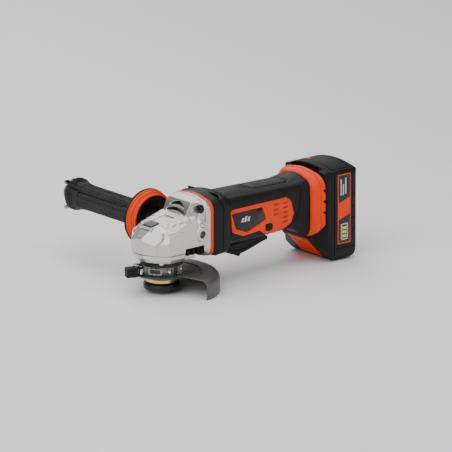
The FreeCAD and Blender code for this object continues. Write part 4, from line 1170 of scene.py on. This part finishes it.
@dataclass
class MotorHousing(Assembly):
    """Black barrel in two half shells, with orange side panels, badges and the rear bumper."""

    wall: float = 2.4
    panel_lift: float = 1.3
    badge_lift: float = 0.9
    screws: list[Point] = field(default_factory=lambda: [
        (94, 15, 79), (150, 14, 79), (186, 17, 78), (186, 15, 36), (166, 12, 40)])
    panel_outline: Outline = field(default_factory=lambda: [
        (74.7, 72.5), (80, 74), (163, 74), (170, 68), (174, 53), (170, 43), (163, 38), (155, 35), (148, 33.5),
        (131, 36), (122, 42), (97, 40), (81, 47)])
    badge_outline: Outline = field(default_factory=lambda: [
        (80, 69.2), (125.4, 69.2), (131.8, 53.9), (103, 44), (85.8, 50.5)])

    def build(self) -> None:
        """Build the shells, then what is fitted on them."""
        self.shells()
        for side, word in ((-1, "right"), (1, "left")):
            self.panel(side, word)
            self.badge(side, word)
        self.bumper()

    def shells(self) -> None:
        """Barrel with shoulder, creases, screw recesses and the paddle's opening, cut into halves."""
        body = Bench.sleeve("shell", BARREL)
        horn = Bench.prism("horn", [(138, 37), (152, 37), (148.6, 24.2), (147, 23.6), (140, 23.6),
                                    (139, 24.4)], Axis.Y, -11, 11)
        body = Bench.combine(body, horn, Cut.ADD)
        Bench.carve(body, UNDERCUT_POINT, UNDERCUT_NORMAL)
        hollow = Bench.sleeve("hollow", BARREL[1:-1], self.wall)
        body = Bench.combine(body, hollow, Cut.REMOVE)
        mouth = Bench.block("mouth", (48, -29, 33), (60, 29, 85))
        opening = Bench.block("opening", (82.5, -12.5, 10), (149.5, 12.5, 40))
        body = Bench.combine(body, Bench.join(mouth, opening), Cut.REMOVE)
        holes = [Bench.drum("recess", 3.9, (x, half, z), 30, Axis.Y, 32) for x, half, z in self.screws]
        body = Bench.combine(body, Bench.join(*holes), Cut.REMOVE)
        body = Bench.combine(body, self.creases(), Cut.REMOVE)
        Bench.round_edges(body, 0.45, 2, angle=42)
        for side, word in ((1, "left"), (-1, "right")):
            half = Bench.copy(body, f"shell_half_{word}")
            Bench.carve(half, (0, side * 0.14, 0), (0, -side, 0))
            Bench.shade(half, 30)
            self.add(half, BLACK, "tool", f"shell_{word}")
        bpy.data.objects.remove(body)

    def creases(self) -> bpy.types.Object:
        """Shallow lines: the foot's crease on each side, the shoulder line and the top panel."""
        foot = Bench.prism("foot_line", [
            (186.8, 83), (184.6, 70), (183.2, 58), (178.5, 47), (169, 38.2), (162.4, 32), (160.8, 32),
            (168, 39.6), (177, 48), (181.8, 58.4), (183.2, 70), (185.4, 83)], Axis.Y, -40, 40)
        shoulder = Bench.block("shoulder_line", (61.6, -40, 20), (62.6, 40, 95))
        panel = Bench.prism("top_panel", [(128, -12), (176, -12), (180, -8), (180, 8), (176, 12), (128, 12),
                                          (124, 8), (124, -8)], Axis.Z, 70, 95)
        inner = Bench.prism("top_panel_inner", [(128.6, -10.8), (175.4, -10.8), (178.8, -7.4), (178.8, 7.4),
                                                (175.4, 10.8), (128.6, 10.8), (125.2, 7.4), (125.2, -7.4)],
                            Axis.Z, 60, 99)
        panel = Bench.combine(panel, inner, Cut.REMOVE)
        lines = Bench.join(foot, shoulder, panel)
        core = Bench.sleeve("crease_core", BARREL, 0.7)
        return Bench.combine(lines, core, Cut.REMOVE)

    def plate(self, name: str, outline: Outline, side: int, lift: float) -> bpy.types.Object:
        """Cut a plate of even thickness that lies on the barrel's side.

        Args:
            name: name for the plate.
            outline: its outline, seen from the side.
            side: 1 for +Y, -1 for -Y.
            lift: how far its face stands out from the barrel.

        Returns:
            The plate.
        """
        low, high = flank(side, 6.0, 40.0)
        plate = Bench.prism(name, outline, Axis.Y, low, high)
        plate = Bench.combine(plate, Bench.sleeve("lifted", BARREL[1:], -lift), Cut.KEEP)
        plate = Bench.combine(plate, Bench.sleeve("seat", BARREL, -0.02), Cut.REMOVE)
        plate.name = name
        return plate

    def panel(self, side: int, word: str) -> None:
        """Orange panel with cooling slots, a raised frame and the window for the badge."""
        panel = self.plate(f"side_panel_moulding_{word}", self.panel_outline, side, self.panel_lift)
        y0, y1 = flank(side, 10, 40)
        cutters = [Bench.prism("window", self.badge_outline, Axis.Y, y0, y1)]
        for x, rows in ((147.0, 3), (161.0, 5)):
            for row in range(rows):
                z = 68.0 - 5.5 * row
                slot = Bench.prism("slot", [(x - 4.0, z - 1.3), (x + 3.4, z - 1.3), (x + 4.0, z + 1.1),
                                            (x - 3.4, z + 1.1)], Axis.Y, y0, y1)
                Bench.round_edges(slot, 0.6, 2, along=Axis.Y)
                cutters.append(slot)
        cutters.append(Bench.prism("finger", [(130.8, 47.6), (138.6, 48.2), (142.0, 45.6), (142.0, 40.0),
                                              (139.4, 38.6), (132.4, 39.2), (130.8, 41.2)], Axis.Y, y0, y1))
        panel = Bench.combine(panel, Bench.join(*cutters), Cut.REMOVE)
        Bench.round_edges(panel, 0.3, 2, angle=40)
        Bench.shade(panel, 32)
        panel.name = f"side_panel_moulding_{word}"
        self.add(panel, ORANGE, "tool", f"side_panel_{word}")
        well = self.plate(f"slot_shadow_{word}", [(139, 71), (169, 71), (169, 44), (139, 44)], side, 0.3)
        Bench.shade(well)
        self.add(well, ORANGE_DEEP, "tool")
        finger = self.plate(f"panel_finger_{word}", [
            (131.2, 47.2), (138.4, 47.8), (141.6, 45.4), (141.6, 40.4), (139.2, 39.0), (132.6, 39.6),
            (131.2, 41.4)], side, 1.0)
        Bench.round_edges(finger, 0.3, 2, angle=45)
        Bench.shade(finger)
        self.add(finger, BLACK, "tool")

    def badge(self, side: int, word: str) -> None:
        """Gloss badge plate with a plain stepped border."""
        outline = [(81.0, 68.6), (124.9, 68.6), (130.8, 54.2), (103.0, 44.7), (86.5, 51.0)]
        badge = self.plate(f"badge_panel_{word}", outline, side, self.badge_lift)
        Bench.round_edges(badge, 0.25, 2, angle=45)
        Bench.shade(badge, 32)
        nodes = ("badge_plates",) if side < 0 else ()
        self.add(badge, GLOSS, "tool", *nodes)
        for index, (x, high) in enumerate(((94, 61.5), (98.6, 63.0), (103.2, 61.5))):
            mark = self.plate(f"badge_mark_{word}_{index}", [(x, 56.5), (x + 3.0, 56.5), (x + 4.6, high),
                                                             (x + 1.6, high)], side, self.badge_lift + 0.12)
            Bench.shade(mark)
            self.add(mark, PALE_PRINT, "tool")

    def bumper(self) -> None:
        """Orange ring round the foot, with notches in its rear edge."""
        ring = Bench.sleeve("bumper_moulding", [
            Station(198.3, 30.0, 17.0, 90.0, 2.2, 15.0), Station(200.0, 32.6, 16.2, 91.2, 2.4, 15.0),
            Station(205.0, 36.5, 15.0, 92.6, 2.6, 15.0), Station(212.3, 38.8, 15.0, 93.3, 3.0, 14.0)])
        foot = BARREL[8:-1] + [Station(214, 27.5, 20, 87.5, 2, 13)]
        ring = Bench.combine(ring, Bench.sleeve("shell_seat", foot, -0.1), Cut.REMOVE)
        Bench.carve(ring, UNDERCUT_POINT, UNDERCUT_NORMAL)
        notches = []
        for side in (1, -1):
            for z in (75.0, 62.0, 49.0):
                low, high = flank(side, 31, 41)
                notches.append(Bench.prism("notch", [(209.2, z), (213.5, z + 3.2), (213.5, z - 3.2)],
                                           Axis.Y, low, high))
        groove = Bench.block("groove", (206.6, -45, 10), (207.5, 45, 99))
        core = Bench.sleeve("groove_core", [Station(204, 35.2, 16, 91.6, 2.6, 15),
                                            Station(210, 37.2, 16, 92.2, 3, 14)])
        groove = Bench.combine(groove, core, Cut.REMOVE)
        ring = Bench.combine(ring, Bench.join(groove, *notches), Cut.REMOVE)
        Bench.round_edges(ring, 0.4, 2, angle=45)
        Bench.shade(ring, 30)
        ring.name = "bumper_moulding"
        self.add(ring, ORANGE, "tool", "rear_bumper")


@dataclass
class PaddleSwitch(Assembly):
    """Paddle under the barrel, and the lock-off lever that swings in it."""

    half_width: float = 11.9

    def build(self) -> None:
        """Build the paddle and the lever."""
        paddle = Bench.prism("paddle_moulding", [
            (83.1, 24.4), (85.0, 20.8), (87.0, 18.6), (91.0, 16.4), (95.0, 14.9), (101.0, 13.7),
            (107.0, 13.3), (115.0, 14.9), (124.0, 17.1), (139.0, 21.6), (148.3, 23.7), (148.3, 27.4),
            (140.0, 30.3), (128.0, 29.3), (84.0, 26.1)], Axis.Y, -self.half_width, self.half_width)
        slot = Bench.block("slot", (100.7, -5.1, 8), (118.9, 5.1, 34))
        Bench.round_edges(slot, 1.0, 3, along=Axis.Z)
        cutters = [slot]
        for index in range(5):
            x = 122.6 + 3.6 * index
            cutters.append(Bench.rod("grip", (x, -9.5, 16.1 + 0.27 * (x - 122.6)),
                                     (x, 9.5, 16.1 + 0.27 * (x - 122.6)), 0.9))
        for side in (1, -1):
            low, high = flank(side, 11.2, 13)
            cutters.append(Bench.prism("side_recess", [
                (90, 22.6), (97, 18.4), (108, 17.2), (122, 20.4), (137, 24.6), (128, 26.4), (92, 24.4)],
                Axis.Y, low, high))
        paddle = Bench.combine(paddle, Bench.join(*cutters), Cut.REMOVE)
        Bench.round_edges(paddle, 0.7, 3, angle=40)
        Bench.shade(paddle)
        paddle.name = "paddle_moulding"
        self.add(paddle, BLACK, "paddle", "paddle")
        lever = Bench.prism("lock_off_moulding", [
            (103.0, 21.0), (105.4, 17.6), (107.5, 15.3), (108.6, 12.0), (109.3, 8.9), (110.0, 8.4),
            (112.2, 8.4), (112.9, 9.2), (113.4, 14.5), (116.4, 21.0), (112.5, 23.5), (106.0, 23.5)],
            Axis.Y, -4.8, 4.8)
        Bench.round_edges(lever, 0.6, 3, angle=40)
        Bench.shade(lever)
        self.add(lever, BLACK, "lock_off_lever", "lock_off_lever")


@dataclass
class BatteryPack(Assembly):
    """Sliding battery pack: front and rear case, labels, gauge, release button."""

    half_width: float = 37.9
    split_x: float = 222.0
    side_outline: Outline = field(default_factory=lambda: [
        (213.4, 34), (203.5, 24), (201.4, 21.4), (200.8, 19), (201.0, 16.2), (202.2, 14), (224.6, -9.4),
        (227.2, -12), (229.4, -12.9), (243.6, -12.9), (255.8, -9.0), (261.9, 2), (261.9, 94), (258, 110),
        (213.4, 110)])

    def build(self) -> None:
        """Build the case and what is fitted on it."""
        self.cases()
        for side, word in ((-1, "right"), (1, "left")):
            self.label(side, word)
        self.top_marks()
        self.release_button()

    def case_solid(self) -> bpy.types.Object:
        """Case blank: arched section, cut to the side outline and the plan outline."""
        solid = Bench.sleeve("case_blank", [Station(196, self.half_width, -13, 93.9, 4.6, 7),
                                            Station(266, self.half_width, -13, 93.9, 4.6, 7)])
        solid = Bench.combine(solid, Bench.prism("side_cut", self.side_outline, Axis.Y, -60, 60), Cut.KEEP)
        edge = [(196, 26), (206, 26), (213.4, 34.2), (217, 37.9), (258, 37.9), (261.9, 34.2)]
        plan = Bench.prism("plan_cut", edge + [(x, -y) for x, y in reversed(edge)], Axis.Z, -30, 120)
        return Bench.combine(solid, plan, Cut.KEEP)

    def cases(self) -> None:
        """Split the blank into front and rear case, and cut the button's and rails' pockets."""
        solid = self.case_solid()
        Bench.round_edges(solid, 1.1, 3, angle=24)
        channel = Bench.block("channel", (212.3, -24, 34), (220.4, 24, 120))
        slope = Bench.prism("button_pocket", [(200.0, 12.6), (205.4, 18.4), (229.4, -6.8), (224.4, -12.2)],
                            Axis.Y, -18.2, 18.2)
        solid = Bench.combine(solid, Bench.join(channel, slope), Cut.REMOVE)
        cuts = []
        for side in (1, -1):
            low, high = flank(side, 37.2, 39)
            cuts.append(Bench.block("side_groove", (225.6, low, -6), (226.8, high, 91)))
            cuts.append(Bench.block("foot_groove", (228.0, low, 1.6), (261, high, 2.6)))
            for index in range(4):
                z = 20.0 + 14.0 * index
                grip = Bench.prism("grip", [(253.4, z), (258.6, z + 2.2), (258.6, z + 5.2), (253.4, z + 3.0)],
                                   Axis.Y, low, high)
                cuts.append(grip)
        cuts.append(Bench.block("back_recess", (260.9, -22, 16), (263, 22, 78)))
        for side in (1, -1):
            cuts.append(Bench.drum("screw_well", 3.4, (259.4, side * 29.0, 84.0), 4.0, Axis.X, 32))
            cuts.append(Bench.drum("screw_well", 3.4, (259.4, side * 29.0, 8.0), 4.0, Axis.X, 32))
        solid = Bench.combine(solid, Bench.join(*cuts), Cut.REMOVE)
        ring = Bench.prism("top_line", [(229, -30), (256, -30), (256, 30), (229, 30)], Axis.Z, 80, 120)
        inner = Bench.prism("top_line_inner", [(230, -29), (255, -29), (255, 29), (230, 29)], Axis.Z, 70, 125)
        ring = Bench.combine(ring, inner, Cut.REMOVE)
        core = Bench.sleeve("top_core", [Station(x, 37.4, -12, 93.2, 4.6, 7) for x in (190, 270)])
        ring = Bench.combine(ring, core, Cut.REMOVE)
        solid = Bench.combine(solid, ring, Cut.REMOVE)
        front = Bench.copy(solid, "pack_case_front_moulding")
        Bench.carve(front, (self.split_x - 0.25, 0, 0), (1, 0, 0))
        Bench.carve(solid, (self.split_x + 0.25, 0, 0), (-1, 0, 0))
        solid.name = "pack_case_rear_moulding"
        for case, node in ((front, "pack_case_front"), (solid, "pack_case_rear")):
            Bench.shade(case, 30)
            self.add(case, BLACK, "battery", node)
        ribs = []
        for index in range(7):
            z = 20.0 + 8.8 * index
            ribs.append(Bench.block("back_rib", (260.6, -20.5, z), (261.6, 20.5, z + 2.2)))
        ribs = Bench.join(*ribs)
        Bench.round_edges(ribs, 0.3, 2)
        ribs.name = "pack_back_ribs"
        Bench.shade(ribs)
        self.add(ribs, BLACK, "battery")

    def label(self, side: int, word: str) -> None:
        """Orange-framed side label with plain bars and a battery sign instead of words."""
        base = self.film(f"label_film_{word}", [(231.2, 7.2), (250.6, 7.2), (250.6, 89.8), (231.2, 89.8)],
                         side, 37.7, 38.12)
        nodes = ("pack_labels",) if side < 0 else ()
        self.add(base, ORANGE, "battery", *nodes)
        panels = [self.film("field", outline, side, 37.9, 38.2) for outline in (
            [(232.4, 55.8), (249.4, 61.8), (249.4, 88.6), (232.4, 88.6)],
            [(232.4, 36.0), (249.4, 41.4), (249.4, 8.4), (232.4, 8.4)])]
        fields = Bench.join(*panels)
        fields.name = f"label_fields_{word}"
        self.add(fields, GLOSS, "battery")
        bars = [self.film("bar", [(x, z), (x + 1.7, z), (x + 1.7, z + h), (x, z + h)], side, 38.0, 38.27)
                for x, z, h in ((235.4, 65.0, 19.0), (238.8, 65.0, 13.0), (242.2, 66.0, 19.0))]
        bars += [self.film("bar", [(x, 12.0), (x + 1.2, 12.0), (x + 1.2, 30.0), (x, 30.0)], side, 38.0, 38.27)
                 for x in (236.0, 245.2)]
        bars += [self.film("bar", [(236.0, z), (246.4, z), (246.4, z + 1.2), (236.0, z + 1.2)],
                           side, 38.0, 38.27) for z in (11.6, 29.6)]
        sign = Bench.join(*bars)
        sign.name = f"label_signs_{word}"
        self.add(sign, PALE_PRINT, "battery")
        cells = [self.film("cell", [(238.2, z), (244.2, z), (244.2, z + 3.4), (238.2, z + 3.4)],
                           side, 38.0, 38.27) for z in (14.4, 19.2, 24.0)]
        cells = Bench.join(*cells)
        cells.name = f"label_cells_{word}"
        self.add(cells, LIME_PRINT, "battery")

    @staticmethod
    def film(name: str, outline: Outline, side: int, near: float, far: float) -> bpy.types.Object:
        """Thin printed plate on one flank of the pack."""
        low, high = flank(side, near, far)
        plate = Bench.prism(name, outline, Axis.Y, low, high)
        Bench.round_edges(plate, 0.06, 1)
        Bench.shade(plate)
        return plate

    def top_marks(self) -> None:
        """Gauge button and its four lights on the pack's top."""
        button = Bench.block("gauge_button_cap", (235.1, 18.1, 94.0), (240.9, 24.9, 97.0))
        Bench.carve(button, (238, 21.5, 96.6), (0.0, 0.16, 0.987))
        Bench.round_edges(button, 0.5, 3)
        Bench.shade(button)
        self.add(button, ORANGE, "gauge_button", "gauge_button")
        lights = []
        for index in range(4):
            y = 10.0 - 6.6 * index
            top = 98.45 - 0.0033 * y * y
            light = Bench.block("gauge_light", (234.6, y - 1.7, top - 1.2), (237.6, y + 1.7, top - 0.35))
            Bench.round_edges(light, 0.4, 2)
            lights.append(light)
        lights = Bench.join(*lights)
        lights.name = "gauge_lights"
        Bench.shade(lights)
        self.add(lights, PALE_PRINT, "battery")

    def release_button(self) -> None:
        """Orange release button on the slope, with finger ribs."""
        button = Bench.prism("release_button_moulding", [
            (201.9, 13.9), (205.6, 17.6), (228.6, -6.8), (224.9, -10.1)], Axis.Y, -17.6, 17.6)
        ribs = []
        for index in range(4):
            t = 0.26 + 0.16 * index
            x, z = 201.9 + 23.0 * t, 13.9 - 24.0 * t
            ribs.append(Bench.rod("rib", (x - 0.1, -12.5, z - 0.1), (x - 0.1, 12.5, z - 0.1), 0.75))
        button = Bench.combine(button, Bench.join(*ribs), Cut.REMOVE)
        Bench.round_edges(button, 0.6, 3, angle=40)
        Bench.shade(button)
        button.name = "release_button_moulding"
        self.add(button, ORANGE, "release_button", "release_button")


# ------------------------------------------------------------------------------ the tool


@dataclass
class Studio:
    """Pale floor, soft lights and the camera."""

    look_at: Point = (57.7, -45.4, 63.0)
    azimuth: float = -40.0
    elevation: float = 16.0
    distance: float = 14.0
    visible_width: float = 514.0
    floor_z: float = -13.0

    def build(self) -> None:
        """Make the floor, the lights and the camera."""
        self.floor()
        self.sky()
        self.lamp("key", (-1.25, -0.35, 1.0), (0.06, 0.0, 0.05), 1.9, 23.0)
        self.lamp("fill", (0.9, -1.5, 0.6), (0.1, 0.0, 0.04), 1.6, 10.0)
        self.lamp("rim", (0.5, 1.3, 1.1), (0.08, 0.0, 0.05), 1.6, 15.0)
        self.lamp("top", (0.05, 0.0, 1.5), (0.08, 0.0, 0.0), 1.7, 18.0)
        self.camera()

    def floor(self) -> None:
        """Lay a wide pale floor."""
        bpy.ops.object.select_all(action="DESELECT")
        bpy.ops.mesh.primitive_plane_add(size=14.0, location=(0, 0, self.floor_z * MM))
        plane = Bench.settle("studio_floor")
        Bench.take(plane)
        bpy.ops.object.mode_set(mode="EDIT")
        bpy.ops.mesh.subdivide(number_cuts=3)
        bpy.ops.object.mode_set(mode="OBJECT")
        mat = bpy.data.materials.new("studio_paper")
        mat.use_nodes = True
        nodes, links = mat.node_tree.nodes, mat.node_tree.links
        skin = nodes["Principled BSDF"]
        skin.inputs["Roughness"].default_value = 0.9
        noise = nodes.new("ShaderNodeTexNoise")
        noise.inputs["Scale"].default_value = 6.0
        tone = nodes.new("ShaderNodeMix")
        tone.data_type = "RGBA"
        tone.inputs["A"].default_value = (0.94, 0.94, 0.94, 1.0)
        tone.inputs["B"].default_value = (0.96, 0.96, 0.96, 1.0)
        links.new(noise.outputs["Fac"], tone.inputs["Factor"])
        links.new(tone.outputs["Result"], skin.inputs["Base Color"])
        plane.data.materials.append(mat)

    def sky(self) -> None:
        """Light from all round, brightest overhead."""
        world = bpy.data.worlds.new("studio_air")
        world.use_nodes = True
        nodes, links = world.node_tree.nodes, world.node_tree.links
        place = nodes.new("ShaderNodeTexCoord")
        part = nodes.new("ShaderNodeSeparateXYZ")
        rise = nodes.new("ShaderNodeMapRange")
        rise.inputs["From Min"].default_value = -0.02
        rise.inputs["From Max"].default_value = 0.75
        rise.inputs["To Min"].default_value = 0.18
        rise.inputs["To Max"].default_value = 1.25
        links.new(place.outputs["Generated"], part.inputs["Vector"])
        links.new(part.outputs["Z"], rise.inputs["Value"])
        links.new(rise.outputs["Result"], nodes["Background"].inputs["Strength"])
        bpy.context.scene.world = world

    @staticmethod
    def lamp(name: str, place: Point, target: Point, size: float, power: float) -> None:
        """Hang a square soft light that faces a target. Places are metres."""
        light = bpy.data.lights.new(name, "AREA")
        light.size = size
        light.energy = power
        lamp = bpy.data.objects.new(name, light)
        lamp.location = place
        lamp.rotation_euler = (Vector(target) - Vector(place)).to_track_quat("-Z", "Y").to_euler()
        bpy.context.scene.collection.objects.link(lamp)

    def camera(self) -> None:
        """Set up a long lens at the chosen angle."""
        a, e = math.radians(self.azimuth), math.radians(self.elevation)
        back = Vector((math.sin(a) * math.cos(e), -math.cos(a) * math.cos(e), math.sin(e)))
        data = bpy.data.cameras.new("studio_camera")
        data.lens = data.sensor_width * self.distance / (self.visible_width * MM)
        data.clip_start = 1.0
        data.clip_end = 80.0
        eye = bpy.data.objects.new("studio_camera", data)
        eye.location = Vector(self.look_at) * MM + back * self.distance
        eye.rotation_euler = (-back).to_track_quat("-Z", "Y").to_euler()
        bpy.context.scene.collection.objects.link(eye)
        bpy.context.scene.camera = eye


def dress_nodes(frame: dict) -> None:
    """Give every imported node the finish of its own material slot."""
    for part in frame["record"]["subparts"]:
        node = frame["nodes"][part["node"]]
        finish = SLOT_FINISH[part["material_slot"]]
        node.data.materials.clear()
        node.data.materials.append(finish.material())
    LOG.info("%d nodes dressed", len(frame["nodes"]))


def main() -> None:
    """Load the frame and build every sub-assembly."""
    logging.basicConfig(level=logging.INFO, format="%(name)s: %(message)s")
    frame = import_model()
    Effects.build()
    dress_nodes(frame)
    Studio().build()
    for sub in (GearHead(), Mount(), SideHandle(), MotorHousing(), PaddleSwitch(), BatteryPack()):
        sub.build()


if __name__ == "__main__":
    main()
